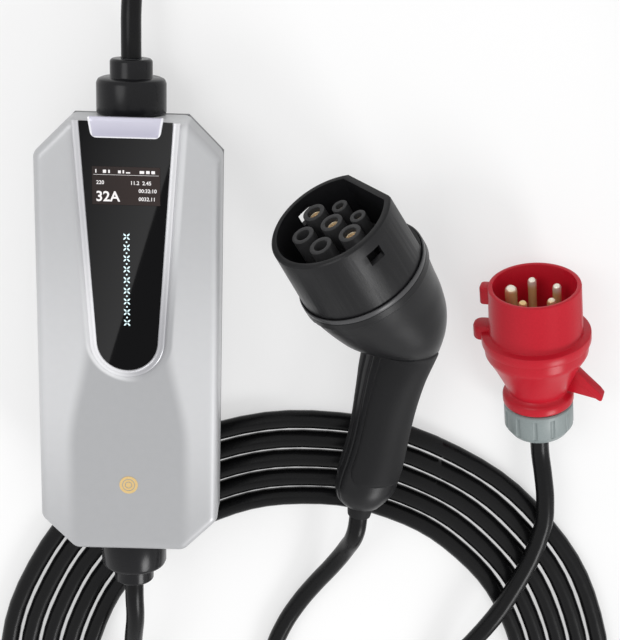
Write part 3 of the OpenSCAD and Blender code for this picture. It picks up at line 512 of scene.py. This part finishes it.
# Rows of inset and rise over the face: up the outer side, over the top, down inside.
round_over = [
    (0.0, 0.0), (0.0, 1.6), (0.12, 2.15), (0.5, 2.5), (1.0, 2.6), (2.2, 2.6), (3.0, 2.5),
    (3.5, 2.25), (3.8, 1.9), (3.95, 1.3), (3.95, 0.6), (3.95, 0.0),
]
trim_rows = [np.insert(panel_path(inset, half_l - 0.6), 2, box_h + rise, axis=1)
             for inset, rise in round_over]
bezel_trim = rings("bezel_trim", np.stack(trim_rows, 1)[:, ::-1], sharp=50.0)
# The trim's colour is painted light and shade by corner, lightest at the lower left and darkest at the
# lower right, with a faint mottle.
chrome = Paint("trim_silver_painted_light", 0.28, metallic=0.55, specular=0.5)
chrome.colour(chrome.blend(
    trim_painted_light(chrome) + chrome.noise(60.0) * 0.08 - 0.04, (0.38, 0.38, 0.40), (0.84, 0.84, 0.86)))
chrome.dull(chrome.noise(25.0) * 0.10 + 0.26)
fitted(bezel_trim, chrome, "trim_white", "bezel_trim")

# Black panel: a sheet of glossy plastic inside the trim, with openings for the
# display and for the lights; it stays as the solid model has it.
plateau_h, glass_t = 0.6, 1.2
glass_top = box_h + plateau_h + glass_t
panel_black = Paint("panel_gloss", 0.05, specular=0.48)
panel_black.colour(panel_black.blend(
    panel_black.noise(8.0), (0.0018, 0.0018, 0.0022), (0.0032, 0.0032, 0.0038)))
panel_black.dull(panel_black.noise(30.0) * 0.015 + 0.012)
panel_black.on(nodes["glass_panel"])


# Its reflection: a card over the scene, seen by reflections alone. It is bright
# along the slanting line on the panel, fades to the left and is dark to the right.
card_h, along_line, far_left, right_of_line = 1.4, 1.0, 0.17, 0.15


def mirrored(x, y):
    """Where the view ray to a spot on the panel, thrown back by it, meets the card."""
    spot = in_box([(x, y, glass_top)])[0] / 1000
    normal = box_lean @ np.array([0, 0, 1.0])
    ray = spot - eye
    ray = ray - 2 * (ray @ normal) * normal
    return spot + ray * (card_h - spot[2]) / ray[2]


line_top, line_foot = mirrored(31.0, 128.0), mirrored(-10.5, -11.0)
down_line = (line_foot - line_top) / np.linalg.norm(line_foot - line_top)
from_line = mirrored(-28.0, 120.0) - line_top
from_line = from_line - (from_line @ down_line) * down_line
from_line = from_line / (from_line @ from_line)
corners = [mirrored(x, y) * 1000 for x, y in ((-29, 134), (-24, -24), (62, -24), (62, 134))]
card = mesh_piece("shaded_card", corners, one_face)


def card_black(name):
    """A dull black that shows nothing but its own glow."""
    paint = Paint(name, 1.0, specular=0.0)
    paint.colour(paint.blend(paint.noise(2.0), (0.0, 0.0, 0.0), (0.004, 0.004, 0.004)))
    return paint


card_paint = card_black("card_paint")
across_card = card_paint.axis("X") * float(from_line[0]) + card_paint.axis("Y") * float(from_line[1])
across_card = across_card - float(line_top @ from_line)
to_the_left = card_paint.node("MapRange", {}, across_card, 0.0, 1.0, along_line, far_left)
fading = card_paint.blend(to_the_left, (0.0, 0.0, 0.0), (1.0, 1.0, 1.0))
card_paint.glow(card_paint.blend(across_card.math("GREATER_THAN", 0.0), (right_of_line,) * 3, fading), 1.0)
card_paint.on(card)

# A pale card between the connector and the plug, again for reflections alone, so
# that neither of them shows in the other.
pale_x = 182
pale_card = mesh_piece("pale_card", [
    (pale_x, -100, 2), (pale_x, 120, 2), (pale_x, 120, 130), (pale_x, -100, 130)], one_face)
pale_paint = card_black("pale_paint")
pale_paint.glow((1.0, 1.0, 1.0), 1.0)
pale_paint.on(pale_card)
for board in (card, pale_card):
    board.visible_camera = board.visible_diffuse = False
    board.visible_shadow = board.visible_transmission = False

# Name plate: a lavender-silver tab with a rounded foot and a bevelled white edge
# on the head of the panel; it stays bare.
plate_foot, plate_head, plate_drop, plate_t = 18.1, 20.0, 9.0, 2.6


def plate_loop(inset, rise):
    """The tab's outline, drawn in by an inset, as a loop at one height over the panel."""
    top, foot = half_l + 2 - inset, half_l - plate_drop + inset
    corners = [(inset - plate_foot, foot), (plate_foot - inset, foot),
               (plate_head - inset, top), (inset - plate_head, top)]
    return np.insert(rounded(corners, (3.4, 3.4, 0.8, 0.8), 8), 2, glass_top + rise, axis=1)


plate_rows = [(0.0, 0.0), (0.0, 1.7), (0.15, 2.1), (0.5, 2.3), (0.7, 2.3), (1.1, 2.3), (1.6, 2.55),
              (2.2, plate_t)]
name_plate = rings("name_plate", [plate_loop(*row) for row in plate_rows])
lavender = Paint("plate_metal", 0.30, metallic=0.3, specular=0.4)
off_middle, up_plate, tab_slope = lavender.axis("X").math("ABSOLUTE"), lavender.axis("Y"), 0.173
side_rim = lavender.band(off_middle - up_plate * tab_slope, -0.0034, -0.0028)
foot_rim = 1 - lavender.band(up_plate, 0.1166, 0.1172)
tab_face = lavender.blend(
    lavender.band(up_plate, 0.112, 0.126) * 0.8 + lavender.noise(70.0) * 0.2,
    (0.42, 0.41, 0.52), (0.62, 0.61, 0.71))
lavender.colour(lavender.blend(side_rim.math("MAXIMUM", foot_rim), tab_face, (0.86, 0.86, 0.90)))
lavender.dull(lavender.noise(900.0) * 0.08 + 0.26)
fitted(name_plate, lavender, "plate_lavender", "name_plate")

# Display: a brown-grey screen flush with the panel, lit from behind. Its figures
# are plain numbers of the charging current and of the mains, over a thin line.
display_brown = Paint("display_film", 0.25, specular=0.3)
display_brown.colour(display_brown.blend(
    display_brown.band(display_brown.axis("X"), -0.018, 0.018) * 0.7 + display_brown.noise(40.0) * 0.3,
    (0.010, 0.006, 0.005), (0.026, 0.017, 0.015)))
display_brown.glow((0.10, 0.07, 0.07), 0.08)
display_brown.on(nodes["display_module"])
figures_h = glass_top + 0.05


def lettering(lines):
    """Plain figures as one flat mesh in the box frame: (text, x, y, size, weight)."""
    points, faces = [], []
    for text, x, y, size, weight in lines:
        written = bpy.data.curves.new("figures", "FONT")
        written.body, written.size, written.offset = text, size, weight
        written.resolution_u = 3
        holder = bpy.data.objects.new("figures", written)
        flat = bpy.data.meshes.new_from_object(holder)
        spots = np.empty(len(flat.vertices) * 3)
        flat.vertices.foreach_get("co", spots)
        spots = spots.reshape(-1, 3) + (x, y, 0)
        faces += [[v + len(points) for v in face.vertices] for face in flat.polygons]
        points += spots.tolist()
        bpy.data.objects.remove(holder)
        bpy.data.curves.remove(written)
        bpy.data.meshes.remove(flat)
    points = np.array(points)
    points[:, 2] = figures_h
    return points, faces


def tiles(boxes):
    """Small flat rectangles in the box frame: (x, y, width, height)."""
    b = np.asarray(boxes, float)
    corner = np.array([(0, 0), (1, 0), (1, 1), (0, 1)])
    spots = b[:, None, :2] + corner[None] * b[:, None, 2:]
    points = np.dstack([spots, np.full(spots.shape[:2], figures_h)]).reshape(-1, 3)
    return points, np.arange(len(points)).reshape(-1, 4).tolist()


figures, figure_faces = lettering([
    ("32A", -16.1, 80.5, 7.6, 0.16), ("220", -15.8, 89.6, 2.8, 0.05), ("11.2  2.45", 2.2, 89.6, 2.8, 0.05),
    ("00:32:10", 6.6, 85.4, 2.8, 0.05), ("0032.11", 6.6, 81.0, 2.8, 0.05),
])
marks, mark_faces = tiles([
    (-16.2, 95.6, 0.6, 1.9), (-12.2, 95.6, 1.7, 1.7), (-9.4, 95.6, 0.9, 1.7), (-4.2, 95.6, 1.5, 1.5),
    (-1.8, 95.6, 0.8, 1.7), (0.0, 95.6, 2.2, 0.7), (7.2, 95.6, 2.4, 1.5), (10.6, 95.6, 1.9, 1.6),
    (13.4, 95.6, 1.9, 1.6), (-17.3, 94.6, 34.6, 0.16),
])
figures_piece = mesh_piece("display_figures", in_box(np.vstack([figures, marks])),
                           figure_faces + [[v + len(figures) for v in face] for face in mark_faces])
lit_white = Paint("display_light", 0.5, specular=0.0)
lit_white.colour(lit_white.blend(lit_white.noise(200.0), (0.60, 0.58, 0.58), (0.72, 0.70, 0.70)))
lit_white.glow((0.80, 0.77, 0.77), 0.35)
fitted(figures_piece, lit_white, "display_brown")

# Light guide: nine clear four-leaved lights with dots between them, in a row
# under the display; the leaves come up through the panel and glow pale cyan.
cyan = Paint("guide_light", 0.3, specular=0.3)
cyan.colour(cyan.blend(cyan.noise(400.0), (0.50, 0.68, 0.71), (0.70, 0.86, 0.88)))
cyan.glow((0.68, 0.88, 0.91), 0.50)
cyan.on(nodes["light_guide"])

# Touch mark and its sensor: gold rings let into the front cover over a copper pad.
gold = grained("touch_gold", (0.72, 0.50, 0.20), (0.86, 0.64, 0.32), 0.3, metallic=0.85)
gold.on(nodes["touch_mark"])
copper = grained("sensor_copper", (0.50, 0.25, 0.14), (0.62, 0.32, 0.18), 0.4, metallic=1.0)
copper.on(nodes["touch_sensor"])

# Inside the box: boards, relays, supply, capacitors, ring core and terminals.
# They stay as the solid model has them, each with its own material.
for paint, names in (
    (grained("board_green", (0.016, 0.110, 0.050), (0.024, 0.150, 0.070), 0.45, 300.0),
     ("front_board", "main_board")),
    (grained("ribbon_grey", (0.50, 0.51, 0.53), (0.60, 0.61, 0.63), 0.6, 500.0), ("board_link",)),
    (grained("relay_black", (0.022, 0.024, 0.027), (0.032, 0.035, 0.040), 0.4), ("relays",)),
    (grained("coil_yellow", (0.55, 0.43, 0.16), (0.68, 0.54, 0.22), 0.5), ("power_supply",)),
    (grained("can_blue", (0.020, 0.035, 0.095), (0.030, 0.050, 0.130), 0.35), ("capacitors",)),
    (grained("core_grey", (0.040, 0.042, 0.046), (0.060, 0.063, 0.068), 0.7), ("current_sensor",)),
    (grained("terminal_green", (0.040, 0.190, 0.105), (0.055, 0.250, 0.140), 0.4), ("terminal_blocks",)),
    (grained("core_sheath", (0.085, 0.090, 0.100), (0.120, 0.128, 0.140), 0.5),
     ("supply_tail", "charge_tail", "gun_tail", "plug_tail")),
):
    paint.on(*[nodes[name] for name in names])


def softened(name, paint, slot, width, steps=2):
    """A copy of a solid with its sharp edges rounded: merged, freed of flat cuts, bevelled."""
    source = nodes[name]
    shape = bmesh.new()
    shape.from_mesh(source.data)
    shape.transform(source.matrix_world)
    bmesh.ops.remove_doubles(shape, verts=shape.verts, dist=1e-5)
    bmesh.ops.dissolve_limit(shape, angle_limit=np.radians(0.5), verts=shape.verts, edges=shape.edges)
    corners = [e for e in shape.edges if e.is_manifold and e.calc_face_angle() > np.radians(crisp_from)]
    bmesh.ops.bevel(shape, geom=corners, offset=width / 1000, segments=steps, profile=0.5,
                    affect="EDGES", clamp_overlap=True)
    mesh = bpy.data.meshes.new(name)
    shape.to_mesh(mesh)
    shape.free()
    mesh.shade_smooth()
    mesh.set_sharp_from_angle(angle=np.radians(crisp_from))
    fitted(added(name + "_form", mesh), paint, slot, name)


# Cable glands: one at each end of the box, turned in smooth black plastic, with
# a narrower neck round the cable; a nut inside holds each in the wall.
gland_black = grained(
    "gland_plastic", (0.0055, 0.0055, 0.0065), (0.0100, 0.0100, 0.0115), 0.24, specular=0.20)
for name in ("top_gland", "bottom_gland"):
    softened(name, gland_black, "gland_black", 0.5)
gland_black.on(nodes["top_gland_nut"], nodes["bottom_gland_nut"])

# The connector's body: two moulded shells, split along the middle plane. Each row
# below is a section: outer edge (Y, back), inner edge (Y, back) and half side,
# where back is the distance behind the mouth.
shell_t, lip_rows, elbow_deep, half_seam = 2.6, 4, 35.5, 0.05
body_rows = [
    (37.8, 42, -37.8, 42, 37.8), (37.8, 46, -37.8, 46, 37.8), (36.2, 47.5, -36.2, 47.5, 36.2),
    (35.7, 53, -35.7, 53, 35.7), (34.8, 62, -33.5, 62, 34.8), (33.5, 75, -30, 73, 34),
]
elbow_out = elbow_in + elbow_deep * grip_out
quarter = np.array([0.25, 0.5, 0.75, 1.0])[:, None]


def bend(a, b, c):
    """Points of a parabola from a to c that leaves towards b."""
    a, b, c = np.array(a), np.array(b), np.array(c)
    return (1 - quarter) ** 2 * a + 2 * quarter * (1 - quarter) * b + quarter ** 2 * c


elbow_rows = np.hstack([
    bend((33.5, 75), (31, 97), elbow_out + 6 * grip_down),
    bend((-30, 73), (-26, 82), elbow_in), [[33.2], [31.5], [28.5], [25]],
])
# The handle's rows: way along it, half side, outer edge and inner edge.
handle = np.array([
    (18, 21, 34.3, -0.5), (32, 18.5, 33.5, -1.2), (46, 17.2, 33, -1.5), (60, 16.8, 32.8, -2.5),
    (72, 16.8, 32.6, -4.5), (82, 16.6, 32, -6.5), (91, 15.4, 29.8, -6.5), (97, 12.6, 25, -3.6),
    (100, 10.4, 22, -0.4),
])
spine = elbow_in + handle[:, :1] * grip_down
handle_rows = np.hstack([
    spine + handle[:, 2:3] * grip_out, spine + handle[:, 3:4] * grip_out, handle[:, 1:2],
])
gun_rows = np.vstack([body_rows, elbow_rows, handle_rows])


def eased(rows, per):
    """Rows along a smooth curve through the given ones: cubic Hermite pieces by chord."""
    middle = (rows[:, :2] + rows[:, 2:4]) / 2
    t = np.concatenate([[0], np.cumsum(np.linalg.norm(np.diff(middle, axis=0), axis=1))])
    slope = np.gradient(rows, t, axis=0)
    s = np.linspace(0, 1, per, endpoint=False)[None, :, None]
    step = np.diff(t)[:, None, None]
    a, b, u, v = rows[:-1, None], rows[1:, None], slope[:-1, None], slope[1:, None]
    curve = ((2 * s ** 3 - 3 * s ** 2 + 1) * a + (s ** 3 - 2 * s ** 2 + s) * step * u
             + (3 * s ** 2 - 2 * s ** 3) * b + (s ** 3 - s ** 2) * step * v)
    return np.vstack([curve.reshape(-1, rows.shape[1]), rows[-1:]])


def on_section(rows, q, side, grow):
    """Points round one side of each section, an ellipse between its outer edge, at q 0, and
    its inner one, at q 180 degrees; grow moves them outwards."""
    outer, inner, half = rows[:, None, :2], rows[:, None, 2:4], rows[:, None, 4]
    middle, reach_out = (outer + inner) / 2, (outer - inner) / 2
    q, grow = np.radians(np.atleast_2d(q)), np.broadcast_to(grow, (len(rows), np.shape(q)[-1]))
    stretch = 1 + grow / np.linalg.norm(reach_out, axis=2)
    flat = middle + (stretch * np.cos(q))[..., None] * reach_out
    x = side * (half_seam + (half + grow - half_seam) * np.sin(q))
    return np.dstack([x, flat[..., 0], -flat[..., 1]])


def slab(name, top, under, sharp=crisp_from):
    """A closed solid between two grids of points, joined round their borders; its faces
    are turned round if they point inwards."""
    m, n = top.shape[:2]
    k = np.arange(m * n).reshape(m, n)
    cell = np.stack([k[:-1, :-1], k[:-1, 1:], k[1:, 1:], k[1:, :-1]], 2).reshape(-1, 4)
    rim = np.concatenate([k[0], k[1:, -1], k[-1, -2::-1], k[-2:0:-1, 0]])
    after = np.roll(rim, -1)
    sides = np.stack([after, rim, rim + m * n, after + m * n], 1)
    faces = np.vstack([cell, cell[:, ::-1] + m * n, sides])
    points = in_gun(np.vstack([top.reshape(-1, 3), under.reshape(-1, 3)]))
    a, b, c, d = (points[faces[:, i]] for i in range(4))
    if np.einsum("ij,ij->", np.cross(a - c, b - d), (a + b + c + d)) > 0:
        faces = faces[:, ::-1]
    return mesh_piece(name, points, faces.tolist(), sharp)


gun_black = Paint("gun_plastic", 0.36, specular=0.20)
gun_black.colour(gun_black.blend(
    gun_black.noise(1400.0), (0.0070, 0.0070, 0.0078), (0.0120, 0.0120, 0.0130)))
gun_black.dull(gun_black.noise(180.0) * 0.08 + 0.30)
gun_black.relief(gun_black.noise(2600.0, 2.0), 0.00012, 0.35)

# Shells: a left and a right half in black plastic, screwed together; a fine
# groove follows the line where they meet, and a crisp lip stands round the mouth.
groove_deep, groove_wide, foot_rows = 0.55, 0.8, 5
smooth_rows = np.vstack([gun_rows[:lip_rows - 1], eased(gun_rows[lip_rows - 1:], 6)])
around = 90 * (1 - np.cos(np.linspace(0, np.pi, 57)))
from_seam = smooth_rows[:, 4:5] * np.sin(np.radians(around))[None]
groove = -groove_deep * np.exp(-(from_seam / groove_wide) ** 2)
groove[:lip_rows - 1] *= 0.3
thick = np.full((len(smooth_rows), 1), shell_t)
thick[-foot_rows:] *= 0.72
for name, side in (("left_shell", 1), ("right_shell", -1)):
    outside = on_section(smooth_rows, around, side, groove)
    inside = on_section(smooth_rows, around, side, -thick)
    fitted(slab(name, outside, inside), gun_black, "gun_black", name)

# Grips: a soft inlay on each side of the handle, let into the shell. Its outline
# is rounded, its edge rolls down into the shell and its surface is matt.
grip_rubber = Paint("grip_rubber", 0.56, specular=0.14)
grip_rubber.colour(grip_rubber.blend(
    grip_rubber.noise(1800.0), (0.0085, 0.0085, 0.0092), (0.0130, 0.0130, 0.0140)))
grip_rubber.relief(grip_rubber.noise(3200.0, 2.0), 0.00015, 0.6)
first_grip, last_grip, grip_q = 8, 15, (45.0, 165.0)
half_wide, half_long, proud, sunk, corner_from, corner_pull = 22, 40, 0.9, 0.12, 0.72, 0.34
grip_rows = eased(gun_rows[first_grip:last_grip + 1], 8)
across_grip, along_grip = np.linspace(-1, 1, 41), np.linspace(-1, 1, len(grip_rows))


def inlay(side):
    """Top and underside of an inlay: a rectangle laid over the sections, drawn in at its
    corners by a power curve; its top falls to its edge as 1 - exp(-distance ** 1.5)."""
    v = along_grip[:, None]
    corner = 1 - corner_pull * np.clip((np.abs(v) - corner_from) / (1 - corner_from), 0, 1) ** 2.4
    u = across_grip[None] * corner
    q = np.mean(grip_q) + (grip_q[1] - grip_q[0]) / 2 * u
    edge_away = np.minimum((1 - np.abs(across_grip[None])) * half_wide, (1 - np.abs(v)) * half_long)
    lift = proud * (1 - np.exp(-(edge_away / proud) ** 1.5)) - sunk
    return on_section(grip_rows, q, side, lift), on_section(grip_rows, q, side, -proud)


for name, side in (("left_grip", 1), ("right_grip", -1)):
    fitted(slab(name, *inlay(side), sharp=60.0), grip_rubber, "grip_rubber", name)

# Nozzle: a thick black sleeve with a rounded rim and one flat side, windowed on
# both flanks; its spigot is held between the shells behind a grey collar.
softened("nozzle", gun_black, "gun_black", 1.0, steps=3)
collar_grey = grained("collar_plastic", (0.030, 0.030, 0.032), (0.045, 0.045, 0.048), 0.32)
softened("collar_ring", collar_grey, "collar_grey", 0.3)

# Contact carrier: five thick sleeves for the power contacts and two slim ones
# for the signals, moulded as one piece and seated in the nozzle.
carrier_black = grained(
    "carrier_plastic", (0.024, 0.024, 0.025), (0.036, 0.036, 0.037), 0.40, specular=0.26)
softened("contact_carrier", carrier_black, "carrier_black", 0.7)

# Contacts: turned brass sockets with a bore, pressed into the carrier's sleeves.
brass = grained("contact_brass", (0.84, 0.68, 0.46), (0.94, 0.80, 0.58), 0.28, 500.0, metallic=0.6)
for name in ("power_contacts", "signal_contacts"):
    softened(name, brass, "contact_brass", 0.15)

# Boot: a tapered rubber sleeve at the foot of the handle that eases the bend.
softened("gun_boot", grip_rubber, "grip_rubber", 0.4)

# The mains plug's shroud and body: red glossy plastic. The shroud has a thin rim, a
# key rib and a tab at its flange; the body is a drum that narrows to a rib above
# the nut, with a pull lug at its side.
red = Paint("plug_red", 0.30, specular=0.20)
red.colour(red.blend(red.noise(900.0), (0.440, 0.007, 0.018), (0.540, 0.011, 0.026)))
red.dull(red.noise(120.0) * 0.10 + 0.25)


def revolved(profile, steps=96):
    """Points and faces of a closed (radius, height) profile turned round the axis."""
    r, z = np.asarray(profile, float).T
    spin = np.linspace(0, 2 * np.pi, steps, endpoint=False)
    r, z = r[:, None], z[:, None]
    points = np.dstack([r * np.cos(spin), r * np.sin(spin), np.repeat(z, steps, 1)])
    k = np.arange(points.shape[0] * steps).reshape(-1, steps)
    right, next_up = np.roll(k, -1, 1), np.roll(k, -1, 0)
    faces = np.stack([k, right, np.roll(right, -1, 0), next_up], 2).reshape(-1, 4)
    return points.reshape(-1, 3), faces.tolist()


def pad(outline, low, high, soft, turn, upright=False):
    """Points and faces of a slab with soft edges: (radius, across) drawn along the axis,
    or, upright, (radius, height) drawn across it; then turned round the axis."""
    outline = np.asarray(outline, float)
    middle = outline.mean(0)
    away = outline - middle
    away /= np.linalg.norm(away, axis=1, keepdims=True)
    steps = [(low, soft), (low + 0.3 * soft, 0.3 * soft), (low + soft, 0), (high - soft, 0),
             (high - 0.3 * soft, 0.3 * soft), (high, soft)]
    loops = np.stack([np.insert(outline - inset * away, 2, level, axis=1) for level, inset in steps])
    if upright:
        loops = loops[:, ::-1, [0, 2, 1]]
    c, s = np.cos(np.radians(turn)), np.sin(np.radians(turn))
    points = loops.reshape(-1, 3) @ np.array([[c, s, 0], [-s, c, 0], [0, 0, 1]])
    k = np.arange(len(points)).reshape(len(steps), -1)
    right = np.roll(k, -1, 1)
    walls = np.stack([k[:-1], right[:-1], right[1:], k[1:]], 2).reshape(-1, 4).tolist()
    return points, walls + [k[0, ::-1].tolist(), k[-1].tolist()]


def joined(name, parts):
    """One red piece of the plug from several closed forms."""
    points, faces = [], []
    for more, cells in parts:
        faces += [[v + len(points) for v in cell] for cell in cells]
        points += np.asarray(more).tolist()
    fitted(mesh_piece(name, in_plug(points), faces, sharp=40.0), red, "plug_red", name)


key_turn, lug_turn = 160.0, -20.0
joined("plug_shroud", [
    revolved([(23.2, -36), (30.2, -36), (30.8, -35.7), (31, -35), (31, -31), (30.8, -30.3), (30.2, -30),
              (27.3, -30), (26.7, -29.7), (26.4, -29), (26, -0.9), (25.8, -0.3), (25.2, 0), (24, 0),
              (23.4, -0.2), (23.2, -0.8)]),
    pad(rounded([(24.5, -4), (31, -4), (31, 4), (24.5, 4)], (0.5, 2.2, 2.2, 0.5)), -13, -2, 0.9, key_turn),
    pad(rounded([(25, -6), (36, -6), (36, 6), (25, 6)], (0.5, 5.0, 5.0, 0.5)), -36, -27, 1.2, key_turn),
])
joined("plug_body", [
    revolved([(12, -90), (16, -90), (16, -76.3), (19.9, -76), (20.4, -75.5), (20.5, -74.8), (20.5, -71.8),
              (20.2, -70.7), (19.3, -69.9), (18, -69.2), (17.5, -68), (18.2, -65.8), (20, -61.4),
              (22.3, -56.2), (24.8, -50.9), (27.2, -46.4), (28.6, -44.1), (29.3, -42.6), (29.5, -41),
              (29.5, -36.1), (23.4, -36.1), (23.4, -44.2), (15, -50), (12, -60)]),
    pad(rounded([(22, -52), (36, -66.5), (38, -69.5), (37, -73), (33.5, -70.5), (20, -56.5)][::-1],
                (0.8, 1.0, 1.2, 1.0, 0.8, 0.8)), -3.5, 3.5, 0.7, lug_turn, upright=True),
    pad(rounded([(20.5, -55), (35.5, -70), (36, -72.3), (16.8, -68)][::-1], 0.8),
        -1.8, 1.8, 0.3, lug_turn, upright=True),
])

# Pin carrier: a pale insert at the foot of the shroud.
insert = grained("insert_plastic", (0.60, 0.55, 0.58), (0.70, 0.65, 0.68), 0.4)
softened("pin_carrier", insert, "insert_pale", 0.3)

# Pins: turned nickel with round tips over a brassy shaft, four for the phases
# and a wider one for the earth, screwed to the cores behind the carrier.
shaft_end, tip_start = 0.0285, 0.0325
nickel = Paint("pin_nickel", 0.24, metallic=0.55)
nickel.colour(nickel.blend(
    nickel.band(nickel.axis("Y"), shaft_end, tip_start), (0.74, 0.52, 0.24), (0.86, 0.81, 0.70)))
nickel.dull(nickel.noise(300.0) * 0.08 + 0.18)
pin_circle, pin_foot, tip_flat = 13.5, -34.0, 0.05


def turned_pins(name, radius, tip, places):
    """Round pins with a domed tip, standing on a circle round the plug's axis, each a
    profile of radius and height turned round its own."""
    dome = np.linspace(0, np.pi / 2, 7)[1:-1]
    profile = np.vstack([
        [(radius, pin_foot), (radius, tip - radius)],
        np.stack([radius * np.cos(dome), tip - radius + radius * np.sin(dome)], 1), [(tip_flat, tip)],
    ])
    spin = np.linspace(0, 2 * np.pi, 28, endpoint=False)
    points, faces = [], []
    for place in places:
        x, y = pin_circle * np.cos(np.radians(place)), pin_circle * np.sin(np.radians(place))
        loop = np.dstack([x + profile[:, :1] * np.cos(spin), y + profile[:, :1] * np.sin(spin),
                          np.broadcast_to(profile[:, 1:], (len(profile), len(spin)))])
        k = np.arange(loop.shape[0] * loop.shape[1]).reshape(loop.shape[:2]) + len(points)
        on = np.roll(k, -1, 1)
        faces += np.stack([k[:-1], on[:-1], on[1:], k[1:]], 2).reshape(-1, 4).tolist()
        faces += [k[0, ::-1].tolist(), k[-1].tolist()]
        points += loop.reshape(-1, 3).tolist()
    fitted(mesh_piece(name, in_plug(points), faces, sharp=60.0), nickel, "pin_bright", name)


turned_pins("phase_pins", 2.5, -3.0, [key_turn - 72 * k for k in (1, 2, 3, 4)])
turned_pins("earth_pin", 3.5, -1.5, [key_turn])

# Nut: a grey grooved ring that clamps the cable in the body, by the rubber grip
# inside it.
nut_grey = grained("nut_plastic", (0.20, 0.235, 0.235), (0.26, 0.30, 0.30), 0.45)
softened("gland_nut", nut_grey, "nut_grey", 0.4)
grip_rubber.on(nodes["cord_grip"])
